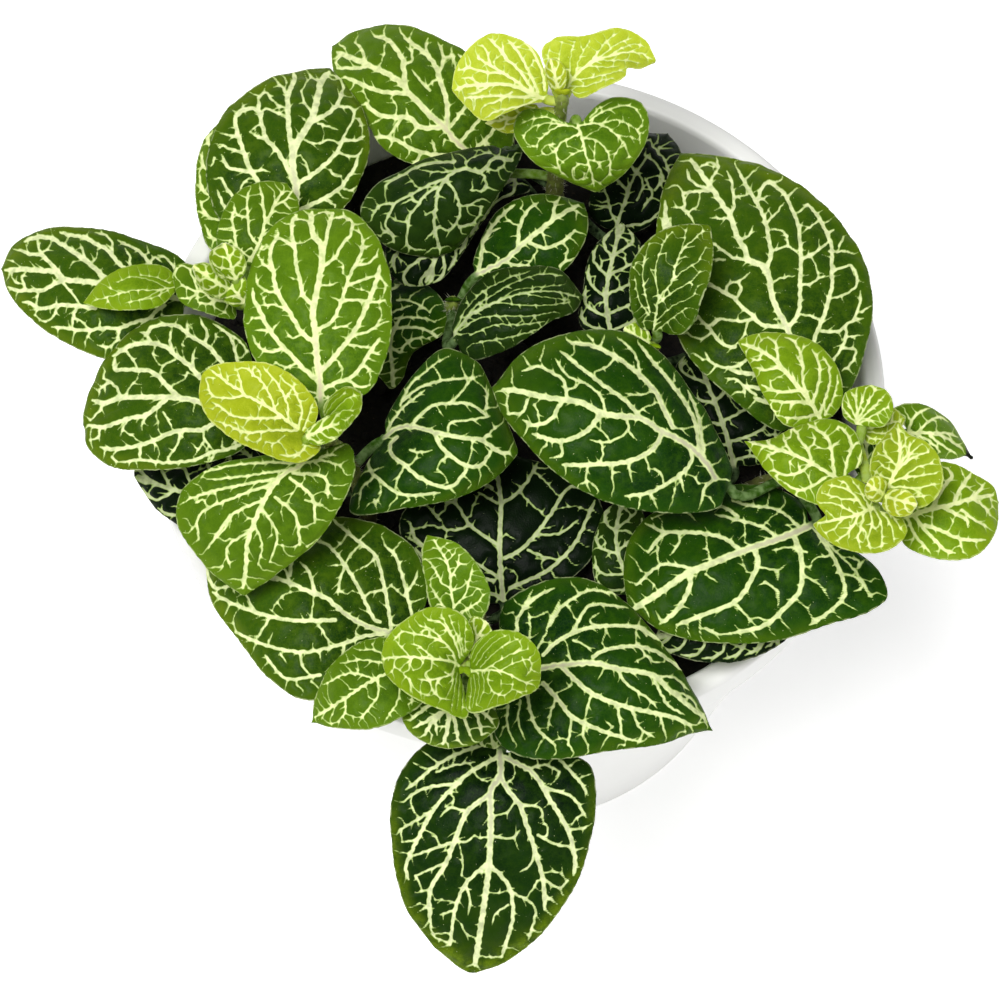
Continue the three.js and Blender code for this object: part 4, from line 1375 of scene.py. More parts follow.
def tie_paths(outline, discs, size, chance):
    """Short cross veins that close the gaps between neighbouring veins into a net, and twigs that
    run from the outermost veins towards the margin."""
    spacing = TIE_SPACING + size / TIE_SPACING_SIZE
    narrowest = TIE_NARROWEST + size / TIE_NARROWEST_SIZE
    s = np.linspace(*TIE_S, int(size / TIE_ROW))[:, None]
    t = np.linspace(*TIE_T, int(size / TIE_COLUMN))[None]
    seen = outline(s, t).reshape(-1, 2)
    to_margin = outline(s + 0 * t, np.sign(t) + 0 * s).reshape(-1, 2) - seen
    room = np.hypot(*to_margin.T)
    thin = discs[::TIED_EVERY]
    ties, twigs, middles, ends = [], [], [], []
    for k in chance.permutation(len(seen)):
        p = seen[k]
        for_tie = clear_of(middles, p, spacing)
        for_twig = room[k] < TWIG_ROOM and clear_of(ends, p, TWIG_SPACING * spacing)
        if not for_tie and not for_twig:
            continue
        away = thin[:, :2] - p
        gap = np.hypot(*away.T)
        edge = gap - thin[:, 2]
        near = np.argmin(edge)
        if not narrowest < edge[near] < TIE_WIDEST:
            continue
        way = away[near] / gap[near]
        behind = np.where(away @ way < TIE_FACING * gap, edge, np.inf)
        far = np.argmin(behind)
        if for_tie and behind[far] < TIE_BALANCE * edge[near] + TIE_SLACK:
            middle = p + chance.normal(size=2) * TIE_SWAY
            whole = chance.uniform() < TIE_WHOLE
            ties.append([thin[near, :2], middle] + ([thin[far, :2]] if whole else []))
            middles.append(p)
        elif for_twig and behind[far] > room[k] and edge[near] < TWIG_START:
            if -(way @ to_margin[k]) > TWIG_FACING * room[k]:
                bend = p + chance.normal(size=2) * TWIG_SWAY
                twigs.append([thin[near, :2], bend, p + chance.uniform(*TWIG_REACH) * to_margin[k]])
                ends.append(p)
    return ties, twigs


def leaf_veins(name, leaf, outline, size):
    """Every vein of a leaf, and the discs of its midrib and trunks alone."""
    veins = Veins(name_seed(name) * SEED_SPACING + SEED, size)
    drawn = leaf["veins"]
    thickest = max((width for width, _ in drawn), default=0)
    trunks = []
    for width, path in drawn:
        trunks += [veins.count] if width > TRUNK_SHARE * thickest else []
        veins.draw(path, width)
    if drawn:
        known = veins.stack()[::KNOWN_EVERY]
        runs = [(w, run) for w, path in net_paths(outline, size) for run in far_parts(path, known)]
    else:
        runs = net_paths(outline, size)
        trunks = [0]
    for width, path in runs:
        veins.draw(path, width)
    thick = (TIE_THICK + size / TIE_THICK_SIZE) * leaf["vein_scale"]
    ties, twigs = tie_paths(outline, veins.stack(), size, veins.chance)
    for path in ties:
        spurs = len(path) > 2 and size > TIE_SPURRED_SIZE
        veins.draw(path, thick * veins.chance.uniform(*TIE_THICKNESS), spurs)
    for path in twigs:
        veins.draw(path, thick * veins.chance.uniform(*TWIG_THICKNESS), spurs=False)
    discs = veins.stack()
    return discs, discs[np.isin(discs[:, 3], trunks)]


def vein_field(points, discs):
    """The distance from each point to the nearest vein's edge, negative inside it, up to a limit."""
    flat = points.reshape(-1, 2)
    field = np.full(len(flat), FIELD_REACH, np.float32)
    tiles = np.floor(flat / FIELD_TILE).astype(int)
    order = np.lexsort(tiles.T)
    breaks = np.flatnonzero(np.any(np.diff(tiles[order], axis=0), axis=1)) + 1
    discs = discs[np.argsort(discs[:, 3], kind="stable")]
    for group in np.split(order, breaks):
        low = tiles[group[0]] * FIELD_TILE - FIELD_REACH
        high = low + FIELD_TILE + 2 * FIELD_REACH
        near = discs[np.all((discs[:, :2] > low) & (discs[:, :2] < high), axis=1)].astype(np.float32)
        if not len(near):
            continue
        firsts = np.flatnonzero(np.diff(near[:, 3], prepend=-1))
        for part in np.array_split(group, len(group) // FIELD_BATCH + 1):
            at = flat[part].astype(np.float32)
            gap = np.hypot(at[:, :1] - near[:, 0], at[:, 1:] - near[:, 1]) - near[:, 2]
            by_vein = np.minimum.reduceat(gap, firsts, axis=1)
            webbed = -WEB * np.log(np.exp(-by_vein / WEB).sum(axis=1) + LEAST_SUM)
            field[part] = np.minimum(webbed, FIELD_REACH)
    return field.reshape(points.shape[:-1])


# ---- Meshes ---------------------------------------------------------------------------------------
class Surface:
    """Collects vertices, faces, texture places and per-vertex values, and makes one mesh of them."""

    def __init__(self):
        self.vertices = []
        self.values = []
        self.quads = []
        self.triangles = []
        self.quad_uv = []
        self.triangle_uv = []
        self.quad_slots = []
        self.triangle_slots = []
        self.count = 0

    def add(self, points, values):
        """points: an array of places. values: a dictionary of arrays, one number for each point."""
        points = np.asarray(points, float).reshape(-1, 3)
        first = self.count
        self.vertices.append(points)
        self.values.append({k: np.broadcast_to(v, len(points)) for k, v in values.items()})
        self.count += len(points)
        return first

    def tube(self, rings, values, start, end, slot=0, uv=None):
        """A closed skin over rings of equally many points, with a point before and after them.
        Each ring runs clockwise as seen from before it. uv: the rings' v in the texture, and the
        u of the columns, one more than there are points in a ring."""
        rows, columns = rings.shape[:2]
        v_rows, u_columns = uv or (np.linspace(0, 1, rows), np.linspace(0, 1, columns + 1))
        first = self.add(rings, {k: v.ravel() for k, v in values.items()})
        r, c = np.meshgrid(np.arange(rows - 1), np.arange(columns), indexing="ij")
        n = (c + 1) % columns
        corner = lambda row, column: (first + row * columns + column).ravel()
        quads = np.stack([corner(r, c), corner(r, n), corner(r + 1, n), corner(r + 1, c)], axis=1)
        u0, u1 = u_columns[c].ravel(), u_columns[c + 1].ravel()
        v0, v1 = v_rows[r].ravel(), v_rows[r + 1].ravel()
        self.quads.append(quads)
        self.quad_uv.append(np.stack([u0, v0, u1, v0, u1, v1, u0, v1], axis=1))
        self.quad_slots.append(np.full(len(quads), slot))
        c = np.arange(columns)
        middle = (u_columns[:-1] + u_columns[1:]) / 2
        for point, row, v_end, before in ((start, 0, 0.0, True), (end, rows - 1, 1.0, False)):
            tip = self.add(point, {k: v[row].mean() for k, v in values.items()})
            near = first + row * columns + c
            far = first + row * columns + (c + 1) % columns
            a, b = (far, near) if before else (near, far)
            ua, ub = (u_columns[1:], u_columns[:-1]) if before else (u_columns[:-1], u_columns[1:])
            tip_v = np.full(columns, v_end)
            ring_v = np.full(columns, v_rows[row])
            self.triangles.append(np.stack([np.full(columns, tip), a, b], axis=1))
            self.triangle_uv.append(np.stack([middle, tip_v, ua, ring_v, ub, ring_v], axis=1))
            self.triangle_slots.append(np.full(columns, slot))

    def faces(self, points, triangles, values):
        """Loose triangles in the first slot, which take no place of their own in the texture."""
        triangles = np.asarray(triangles) + self.add(points, values)
        self.triangles.append(triangles)
        self.triangle_uv.append(np.zeros((len(triangles), 6)))
        self.triangle_slots.append(np.zeros(len(triangles), int))

    def make(self, name, materials, keep_uv=False):
        quads, triangles = np.vstack(self.quads), np.vstack(self.triangles)
        mesh = bpy.data.meshes.new(name)
        vertices = np.vstack(self.vertices) * MM
        mesh.vertices.add(len(vertices))
        mesh.vertices.foreach_set("co", vertices.astype(np.float32).ravel())
        loops = np.concatenate([quads.ravel(), triangles.ravel()])
        mesh.loops.add(len(loops))
        mesh.loops.foreach_set("vertex_index", loops.astype(np.int32))
        quad_starts = np.arange(len(quads)) * 4
        triangle_starts = len(quads) * 4 + np.arange(len(triangles)) * 3
        starts = np.concatenate([quad_starts, triangle_starts])
        mesh.polygons.add(len(starts))
        mesh.polygons.foreach_set("loop_start", starts.astype(np.int32))
        mesh.polygons.foreach_set("use_smooth", np.ones(len(starts), bool))
        slots = np.concatenate(self.quad_slots + self.triangle_slots)
        mesh.polygons.foreach_set("material_index", slots.astype(np.int32))
        for key in sorted({k for v in self.values for k in v}):
            column = [v.get(key, np.zeros(len(p))) for v, p in zip(self.values, self.vertices)]
            layer = mesh.attributes.new(key, "FLOAT", "POINT")
            layer.data.foreach_set("value", np.concatenate(column).astype(np.float32))
        if keep_uv:
            uv = np.concatenate([u.ravel() for u in self.quad_uv + self.triangle_uv])
            mesh.uv_layers.new(name="OFBake").data.foreach_set("uv", uv.astype(np.float32))
        mesh.update(calc_edges=True)
        mesh.validate(clean_customdata=False)
        for material in materials:
            mesh.materials.append(material)
        piece = bpy.data.objects.new(name, mesh)
        bpy.context.scene.collection.objects.link(piece)
        return piece


# ---- Leaves ---------------------------------------------------------------------------------------
GRID_STEP = 0.21  # the spacing of the points on a leaf's upper face
FEWEST_STEPS = 170  # along a leaf, which makes a small leaf's points closer
FEWEST_ROWS = 24
COARSE_ROWS, COARSE_COLUMNS = 21, 11  # the grid that a leaf is measured by
LOWER_SHARE = 3  # the lower face has one column for this many of the upper
LAST_ROW = 0.988  # s of the last row before the tip
STALK_ROWS = 14
LEAF_SINK, TINY_LEAF_SINK = 0.4, 0.6  # how far a stalk runs into its stem

EDGE_CURL, ARCH_FALL = 1.7, 0.8  # how the margins' rise grows with t, and falls to base and tip
NEAR_BASE, NEAR_MIDRIB = 0.06, 0.6  # where a blade's base is measured, as s and t
STALK_PULL_START, STALK_PULL_END = 0.35, 0.4
STALK_BLEND = 0.055  # the share of a leaf's length in which its stalk flattens into the blade
STALK_EDGE, STALK_SIDE = 0.06, 0.02  # angles by which a stalk's lower points keep off its sides

# Smaller leaves than FULL_SIZE have less relief. Between its veins a blade is pillowed, with a
# groove along them, and has cockles and a ruffled, scalloped margin.
FULL_SIZE = 26
PILLOW, PILLOW_REACH, PILLOW_MARGIN, PILLOW_BASE = 0.30, 0.75, 1.2, 0.06
GROOVE, GROOVE_EDGE = 0.10, 0.05
COCKLE, COCKLE_SIZE = 0.10, 3.1
RUFFLE, RUFFLE_SIZE, RUFFLE_START, RUFFLE_ALONG = 0.2, 5.5, 0.45, (0.08, 0.3)
SCALLOP, SCALLOP_SIZE = 0.05, 9.0
CRENATION, CRENATION_SIZE = 0.025, 3.0
SCALLOP_START, SCALLOP_ALONG = 0.9, (0.04, 0.12)

BLADE, BLADE_EASE = 0.34, 6  # a blade's thickness, and how squarely it ends at the margin
MARGIN_BLADE, MARGIN_BULGE = 0.16, 0.05
MIDRIB_WIDTH, MIDRIB_TAPER = 0.75, 1.3
RIDGE, RIDGE_REACH = 0.22, 0.22  # how far the veins stand out below

# The values that the material reads on a stalk, and where the blade's and the dried tip's start.
STALK_VEIN = -0.5
STALK_MARGIN = 3.0
BLADE_START = 0.05
DRIED_START = (0.87, 0.90)

# The texture holds the stalk, then the upper face beside the lower one.
FIRST_V, STALK_V, LAST_V = 0.004, 0.06, 0.99
UPPER_U = 0.72
MARGIN_U, MARGIN_SPLIT = 0.015, (0.2, 0.8)


class LeafShape:
    """The upper face of a leaf, read by s (base 0 to tip 1) and t (left margin -1 to right 1)."""

    def __init__(self, leaf):
        spine = np.array(leaf["spine"], float)
        base, tip = spine[0], spine[-1]
        ahead = unit(spine[1, :2] - base[:2])
        self.midrib = SmoothCurve(spine)
        self.rise = leaf["rise"]
        half_stalk = STALK_RADIUS / VIEW_UNIT_AT_RIM
        self.margins = []
        for side, points in ((-1, leaf["left"]), (1, leaf["right"])):
            start = base[:2] + side * half_stalk * np.array([-ahead[1], ahead[0]])
            self.margins.append(SmoothCurve(np.vstack([start, points, tip[:2]])))

    def outline(self, s, t):
        """Where the face's points are seen, as (across, down)."""
        s, t = np.broadcast_arrays(s, t)
        middle = self.midrib.at(s)[..., :2]
        edges = np.where((t < 0)[..., None], self.margins[0].at(s), self.margins[1].at(s))
        return middle + (edges - middle) * np.abs(t)[..., None]

    def face(self, s, t):
        s, t = np.broadcast_arrays(s, t)
        seen = self.outline(s, t)
        rise = np.where(t < 0, self.rise[0], self.rise[1])
        arch = np.abs(np.sin(math.pi * s)) ** ARCH_FALL
        height = self.midrib.at(s)[..., 2] + rise * arch * np.abs(t) ** EDGE_CURL
        return place(seen[..., 0], seen[..., 1], height)


def stalk_curve(leaf, shape, sink):
    """From inside the stem's skin to the underside of the blade's base."""
    base = shape.face(0.0, 0.0)
    ahead = unit(shape.face(NEAR_BASE, 0.0) - base)
    across = unit(shape.face(NEAR_BASE, NEAR_MIDRIB) - shape.face(NEAR_BASE, -NEAR_MIDRIB))
    up = unit(np.cross(across, ahead))
    end = base - up * STALK_RADIUS
    stem = stem_curve(STEMS[leaf["stem"]])
    t = stem.parameter(leaf["node"])
    axis = stem.tangent(t)
    outward = end - stem.point(t)
    outward = unit(outward - axis * np.dot(outward, axis))
    start = stem.point(t) + outward * (stem_radius(leaf["node"]) - sink)
    reach = np.linalg.norm(end - start)
    leaving = start + outward * STALK_PULL_START * reach
    curve = Bezier(start, leaving, end - ahead * STALK_PULL_END * reach, end)
    return curve, across


def circles(centres, angles, across, up):
    """The rings of a round stalk, with a point at each angle."""
    return (
        centres[:, None]
        + STALK_RADIUS * np.cos(angles)[None, :, None] * across[:, None]
        + STALK_RADIUS * np.sin(angles)[None, :, None] * up[:, None]
    )


def leaf_relief(upper, s, inside, reach, vein, plump, seed):
    """How far a blade's upper face stands above its plain shape, and where its veins shape it."""
    swell = 1 - np.exp(-np.maximum(vein, 0) / (PILLOW_REACH * plump))
    settle = smooth(0.0, PILLOW_MARGIN, inside) * smooth(0.0, PILLOW_BASE, s)[:, None]
    relief = (PILLOW * plump * swell - GROOVE * plump * (vein < GROOVE_EDGE)) * settle
    relief = relief + COCKLE * plump * waves(upper / COCKLE_SIZE, seed) * settle
    ruffle = RUFFLE * plump * waves(upper / RUFFLE_SIZE, seed + 1) * smooth(RUFFLE_START, 1.0, reach)
    return relief + ruffle * smooth(*RUFFLE_ALONG, s)[:, None], settle


def leaf_thickness(s, half, reach, vein, plump, settle):
    thick = BLADE * np.sqrt(np.clip(1 - reach**BLADE_EASE, 0, 1))
    thick = np.maximum(thick, MARGIN_BLADE) * np.ones_like(s)[:, None]
    midrib = np.exp(-((half[:, None] * reach / (MIDRIB_WIDTH * STALK_RADIUS)) ** 2))
    taper = ((1 - s) ** MIDRIB_TAPER)[:, None]
    thick = thick + (2 * STALK_RADIUS - BLADE) * taper * midrib
    return thick + RIDGE * plump * np.exp(-((np.maximum(vein, 0) / RIDGE_REACH) ** 2)) * settle


def leaf_uv(s, t, lower_t):
    """A leaf's places in the texture: v of its rings, and u of its columns."""
    stalk_v = np.linspace(FIRST_V, STALK_V, STALK_ROWS, endpoint=False)
    v_rows = np.concatenate([stalk_v, STALK_V + (LAST_V - STALK_V) * s / LAST_ROW])
    upper_u = UPPER_U * (t + 1) / 2
    lower_u = UPPER_U + MARGIN_U + (1 - UPPER_U - 2 * MARGIN_U) * (1 - lower_t) / 2
    near, far = UPPER_U + MARGIN_SPLIT[0] * MARGIN_U, 1 - MARGIN_SPLIT[1] * MARGIN_U
    return v_rows, np.concatenate([upper_u, [near], lower_u, [far, 1.0]])


def add_leaf(surface, name, leaf, sink, slot=0):
    """Adds a leaf with its stalk to the surface, as one closed body."""
    shape = LeafShape(leaf)
    seed = name_seed(name)
    coarse_s, coarse_t = np.linspace(0, 1, COARSE_ROWS), np.linspace(-1, 1, COARSE_COLUMNS)
    coarse = shape.face(coarse_s[:, None], coarse_t[None])
    midrib = coarse[:, COARSE_COLUMNS // 2]
    length = np.linalg.norm(np.diff(midrib, axis=0), axis=1).sum()
    width = np.linalg.norm(np.diff(coarse, axis=1), axis=2).sum(axis=1).max()
    size = max(length, width)
    step = min(GRID_STEP, size / FEWEST_STEPS)
    rows = max(FEWEST_ROWS, int(length / step))
    columns = max(FEWEST_ROWS, int(width / step)) // 2 * 2 + 1
    middle = columns // 2
    s = np.linspace(0, LAST_ROW, rows)
    t = np.linspace(-1, 1, columns)
    upper = shape.face(s[:, None], t[None])
    seen = shape.outline(s[:, None], t[None])
    normal = unit(np.cross(np.gradient(upper, axis=1), np.gradient(upper, axis=0)))
    half = np.linalg.norm(upper[:, -1] - upper[:, 0], axis=1) / 2
    reach = np.abs(t)[None]
    inside = half[:, None] * (1 - reach)
    plump = min(1.0, size / FULL_SIZE)

    discs, trunks = leaf_veins(name, leaf, shape.outline, size / VIEW_UNIT_AT_RIM)
    vein = vein_field(seen, discs) * VIEW_UNIT_AT_RIM
    trunk = vein_field(seen, trunks) * VIEW_UNIT_AT_RIM

    relief, settle = leaf_relief(upper, s, inside, reach, vein, plump, seed)
    top = upper + normal * relief[..., None]
    scallop = SCALLOP * waves(seen / SCALLOP_SIZE, seed + 2)
    scallop = scallop + CRENATION * waves(seen / CRENATION_SIZE, seed + 3)
    outwards = unit(upper[:, -1] - upper[:, 0])[:, None]
    at_margin = smooth(SCALLOP_START, 1.0, reach)
    push = scallop * at_margin * np.sign(t)[None] * smooth(*SCALLOP_ALONG, s)[:, None]
    top = top + outwards * push[..., None]
    thick = leaf_thickness(s, half, reach, vein, plump, settle)
    below = top - normal * thick[..., None]
    between = (top + below) / 2
    picks = np.unique(np.append(np.arange(0, columns, LOWER_SHARE), [middle, columns - 1]))[::-1]
    right_margin = between[:, -1:] + outwards * MARGIN_BULGE
    left_margin = between[:, :1] - outwards * MARGIN_BULGE
    blade_ring = np.concatenate([top, right_margin, below[:, picks], left_margin], axis=1)

    # The stalk is round, and its rings have the blade's columns.
    centres = upper[:, middle] - normal[:, middle] * STALK_RADIUS
    over = math.pi * (1 - (t + 1) / 2)
    under = -STALK_EDGE - (math.pi - 2 * STALK_EDGE) * (1 - (t[picks] + 1) / 2)
    angles = np.concatenate([over, [-STALK_SIDE], under, [STALK_SIDE - math.pi]])
    blade_across = unit(upper[:, middle + 1] - upper[:, middle - 1])
    round_part = circles(centres, angles, blade_across, normal[:, middle])
    flatten = smooth(0, STALK_BLEND, s)[:, None, None]
    blade_ring = round_part + (blade_ring - round_part) * flatten
    curve, across = stalk_curve(leaf, shape, sink)
    share = np.linspace(0, 1, STALK_ROWS + 1)[:-1]
    ahead = curve.tangent(share)
    side = unit(across - ahead * np.sum(ahead * across, axis=1, keepdims=True))
    stalk_ring = circles(curve.point(share), angles, side, np.cross(side, ahead))
    rings = np.vstack([stalk_ring, blade_ring])

    def spread(grid, on_stalk):
        ring = np.concatenate([grid, grid[:, -1:], grid[:, picks], grid[:, :1]], axis=1)
        return np.vstack([np.full((STALK_ROWS, ring.shape[1]), on_stalk), ring])

    ones = np.ones_like(vein)
    dried = smooth(*DRIED_START, s) if name == DRIED_LEAF else np.zeros_like(s)
    lower = np.concatenate([np.zeros(columns), [0.5], np.ones(len(picks)), [0.5]])
    values = {
        "vein": spread(vein, STALK_VEIN),
        "trunk": spread(trunk, STALK_VEIN),
        "along": spread(s[:, None] * ones, 0.0),
        "margin": spread(inside * ones, STALK_MARGIN),
        "under": np.vstack([np.zeros((STALK_ROWS, len(lower))), lower * np.ones_like(s)[:, None]]),
        "blade": spread(smooth(0.0, BLADE_START, s)[:, None] * ones, 0.0),
        "dried": spread(dried[:, None] * ones, 0.0),
    }
    uv = leaf_uv(s, t, t[picks])
    surface.tube(rings, values, curve.point(0.0), shape.face(1.0, 0.0), slot, uv)


# ---- Stems ----------------------------------------------------------------------------------------
STEM_SIDES = 20
STEM_STEP, FEWEST_STEM_ROWS = 0.8, 30
NODE_SWELL, NODE_SIZE = 0.28, 0.9  # how much a stem thickens where a stalk leaves it
STEM_BUMP, STEM_BUMP_SIZE = 0.05, 2.2
STEM_SEED_SCALE = 10
STEM_END_SHARE, STEM_END = 0.7, 0.5  # the last ring's narrowing, and how far its tip stands out

HAIRS = 260
HAIR_RADIUS = 0.035
HAIR_SPAN = (0.12, 0.99)
HAIR_LEAN = (-0.3, 0.5)
HAIR_LENGTH = (0.6, 1.3)
HAIR_FOOT = 0.9  # of the stem's radius
HAIR_FACES = [[0, 1, 3], [1, 2, 3], [2, 0, 3], [0, 2, 1]]
HAIR_ALONG = 2.0  # the value by which the stem's material knows a hair

SCALE_LENGTH, SCALE_RADIUS, SCALE_SIDES = 2.6, 0.8, 10
SCALE_ROWS = np.linspace(0.04, 0.97, 9)
SCALE_ROUND, SCALE_FULL = 0.7, 0.8  # how near its base a scale is widest, and how blunt it is
SCALE_CURL, SCALE_SQUASH = 0.25, 0.45
SCALE_SINK, SCALE_SPREAD = 0.4, 0.5
SCALE_ALONG = 0.6


def turned(axis):
    """Two directions square to an axis and to each other."""
    across = unit(VIEW_RIGHT - axis * np.dot(axis, VIEW_RIGHT))
    return across, np.cross(across, axis)


def ring_around(centre, axis, radii, sides):
    across, up = turned(axis)
    angles = -np.arange(sides) * TURN / sides
    spokes = np.cos(angles)[:, None] * across + np.sin(angles)[:, None] * up
    return centre + spokes * np.broadcast_to(radii, sides)[:, None]


def add_bud_scale(surface, base, way):
    """A small pointed scale leaf at a stem's growing tip."""
    _, up = turned(way)
    rings = []
    for row in SCALE_ROWS:
        girth = SCALE_RADIUS * math.sin(math.pi * row**SCALE_ROUND) ** SCALE_FULL
        centre = base + way * SCALE_LENGTH * row + up * SCALE_CURL * SCALE_LENGTH * row * row
        ring = ring_around(centre, way, girth, SCALE_SIDES)
        ring += up * (np.dot(ring - centre, up) * -SCALE_SQUASH)[:, None]
        rings.append(ring)
    rings = np.array(rings)
    tip = base + way * SCALE_LENGTH + up * SCALE_CURL * SCALE_LENGTH
    ones = np.ones(rings.shape[:2])
    values = {"vein": ones, "along": SCALE_ALONG * ones, "blade": ones, "margin": ones}
    surface.tube(rings, values, base, tip, slot=1)


def add_stem(surface, stem, nodes):
    curve = stem_curve(stem)
    share = np.linspace(0, 1, max(FEWEST_STEM_ROWS, int(curve.length / STEM_STEP)))
    t = curve.parameter(share)
    centres, ways = curve.point(t), curve.tangent(t)
    radii = stem_radius(share)
    for node in nodes:
        radii = radii + NODE_SWELL * np.exp(-(((share - node) * curve.length / NODE_SIZE) ** 2))
    seed = int(abs(centres[0, 0]) * STEM_SEED_SCALE)
    radii = radii * (1 + STEM_BUMP * waves(centres / STEM_BUMP_SIZE, seed))
    rings = np.array([ring_around(c, w, r, STEM_SIDES) for c, w, r in zip(centres, ways, radii)])
    rings[-1] = centres[-1] + (rings[-1] - centres[-1]) * STEM_END_SHARE
    grid = np.zeros(rings.shape[:2]) + share[:, None]
    surface.tube(rings, {"along": grid}, centres[0], centres[-1] + ways[-1] * STEM_END)
    for _ in range(HAIRS):
        s = random.uniform(*HAIR_SPAN)
        t = curve.parameter(s)
        centre, way = curve.point(t), curve.tangent(t)
        across, up = turned(way)
        angle = random.uniform(0, TURN)
        out = across * math.cos(angle) + up * math.sin(angle)
        lean = unit(out + way * random.uniform(*HAIR_LEAN))
        foot = centre + out * stem_radius(s) * HAIR_FOOT
        length = random.uniform(*HAIR_LENGTH)
        points = np.vstack([ring_around(foot, lean, HAIR_RADIUS, 3), foot + lean * length])
        surface.faces(points, HAIR_FACES, {"along": HAIR_ALONG})


def add_scales(surface, stem):
    """The two scale leaves that close a stem's bud."""
    curve = stem_curve(stem)
    top, way = curve.point(1.0), curve.tangent(1.0)
    across, _ = turned(way)
    for side in (-1, 1):
        add_bud_scale(surface, top - way * SCALE_SINK, unit(way + SCALE_SPREAD * side * across))


# ---- Pot and soil ---------------------------------------------------------------------------------
POT_SIDES, DRAIN_SIDES, SOIL_SIDES = 192, 48, 260
FOOT_WIDTH, FOOT_LIFT, FOOT_SLOPE = 4, 0.7, 0.8
BASE_BEVEL = 1.2
# The lip's outline, as (inwards from the rim's outside, down from the pot's top), and the rim's
# inner edge, as (outwards from the pot's inside, down from its top).
LIP_OUTLINE = [(0.3, LIP_DEPTH), (0, LIP_DEPTH - 1), (0, 1), (0.7, 0.15), (1.6, 0)]
INNER_EDGE = [(0.5, 0.2), (0, 1)]
CUT_PAST = 2  # how far a drain's cutter stands out of the pot's floor

CORNER_RADIUS, CORNER_STEPS, CORNER_SHARE = 0.5, 4, 0.45
PROFILE_GAP = 4.0
PROFILE_GUARD, PROFILE_GUARD_SHARE = 0.3, 0.2  # how near a long side's end its first point lies

BOTTOM_RINGS, WALL_RINGS, TOP_RINGS = 6, 14, 96
SOIL_MIDDLE = 0.4  # the radius of the innermost ring
SOIL_RIM = 2.5  # beside the wall the soil's surface is even
SOIL_WAVES = [(0.8, 9.0, 3), (0.55, 3.4, 4), (0.35, 1.5, 5), (0.2, 0.8, 6)]  # height, size, seed
ON_TOP = 0.01  # points no lower than this under SOIL_TOP belong to the surface

LUMPS, LUMP_SPREAD, LUMP_GAP, LUMP_LIFT = 760, 0.97, 0.6, 0.25
LUMP_LEAST, LUMP_MORE = 0.45, 1.1
LUMP_STRETCH = (0.6, 1.4)
LUMP_SIDES, LUMP_RINGS = 7, (0.6, 1.2, 1.9, 2.5)  # each ring's angle from the lump's foot
LUMP_UNEVEN, LUMP_TILT = (0.75, 1.2), (0.8, 1.15)


def inner_radius(height):
    body_top = RIM_RADIUS - LIP_OUT
    return BASE_RADIUS + (body_top - BASE_RADIUS) * height / POT_HEIGHT - WALL


def rounded(profile):
    """A profile (radius, height) with eased corners and evenly spaced points between them."""
    points = np.array(profile, float)
    line = [points[0]]
    for before, corner, after in zip(points[:-2], points[1:-1], points[2:]):
        back, on = before - corner, after - corner
        shorter = min(CORNER_SHARE * np.linalg.norm(back), CORNER_SHARE * np.linalg.norm(on))
        ease = min(CORNER_RADIUS, shorter)
        a, b = corner + unit(back) * ease, corner + unit(on) * ease
        for t in np.linspace(0, 1, CORNER_STEPS + 1):
            line.append(a * (1 - t) ** 2 + 2 * corner * t * (1 - t) + b * t * t)
    line.append(points[-1])
    filled = [line[0]]
    for a, b in zip(line[:-1], line[1:]):
        length = np.linalg.norm(b - a)
        count = int(length // PROFILE_GAP) + 1
        if count > 1:
            guard = min(PROFILE_GUARD / length, PROFILE_GUARD_SHARE)
            filled.append(a + (b - a) * guard)
            filled += [a + (b - a) * k / count for k in range(1, count)]
            filled.append(b + (a - b) * guard)
        filled.append(b)
    return np.array(filled)


def add_lathe(surface, profile, sides, centre=(0.0, 0.0), lift=None):
    """A closed turned body. The profile starts and ends on the axis; lift moves its points."""
    angles = np.arange(sides) * TURN / sides
    turn = np.stack([np.cos(angles), np.sin(angles)], axis=1)
    rings = [np.column_stack([turn * r + centre, np.full(sides, z)]) for r, z in profile[1:-1]]
    rings = np.array(rings)
    if lift is not None:
        rings = rings + lift(rings)
    surface.tube(rings, {}, [*centre, profile[0][1]], [*centre, profile[-1][1]])


def make_pot(material):
    lip_back = inner_radius(POT_HEIGHT - LIP_DEPTH - LIP_OUT) + WALL
    foot = BASE_RADIUS - FOOT_WIDTH
    profile = [
        (0, FOOT_LIFT), (foot - FOOT_SLOPE, FOOT_LIFT), (foot, 0), (BASE_RADIUS - BASE_BEVEL, 0),
        (BASE_RADIUS, BASE_BEVEL), (lip_back, POT_HEIGHT - LIP_DEPTH - LIP_OUT),
    ]
    profile += [(RIM_RADIUS - inwards, POT_HEIGHT - down) for inwards, down in LIP_OUTLINE]
    rim_inner = inner_radius(POT_HEIGHT)
    profile += [(rim_inner + outwards, POT_HEIGHT - down) for outwards, down in INNER_EDGE]
    profile += [(inner_radius(FLOOR), FLOOR), (0, FLOOR)]
    surface = Surface()
    add_lathe(surface, rounded(profile), POT_SIDES)
    pot = surface.make("pot_finish", [material])
    radius = DRAIN_DIAMETER / 2
    low, high = -CUT_PAST, FLOOR + CUT_PAST
    for k in range(DRAIN_COUNT):
        turn = (k + 0.5) / DRAIN_COUNT * TURN
        centre = [DRAIN_CIRCLE_RADIUS * math.cos(turn), DRAIN_CIRCLE_RADIUS * math.sin(turn)]
        surface = Surface()
        add_lathe(surface, [(0, low), (radius, low), (radius, high), (0, high)], DRAIN_SIDES, centre)
        cutter = surface.make("drain_cutter", [material])
        cut = pot.modifiers.new("drain", "BOOLEAN")
        cut.operation, cut.solver, cut.object = "DIFFERENCE", "EXACT", cutter
        graph = bpy.context.evaluated_depsgraph_get()
        mesh = bpy.data.meshes.new_from_object(pot.evaluated_get(graph))
        pot.modifiers.clear()
        pot.data = mesh
        bpy.data.objects.remove(cutter)
    return pot


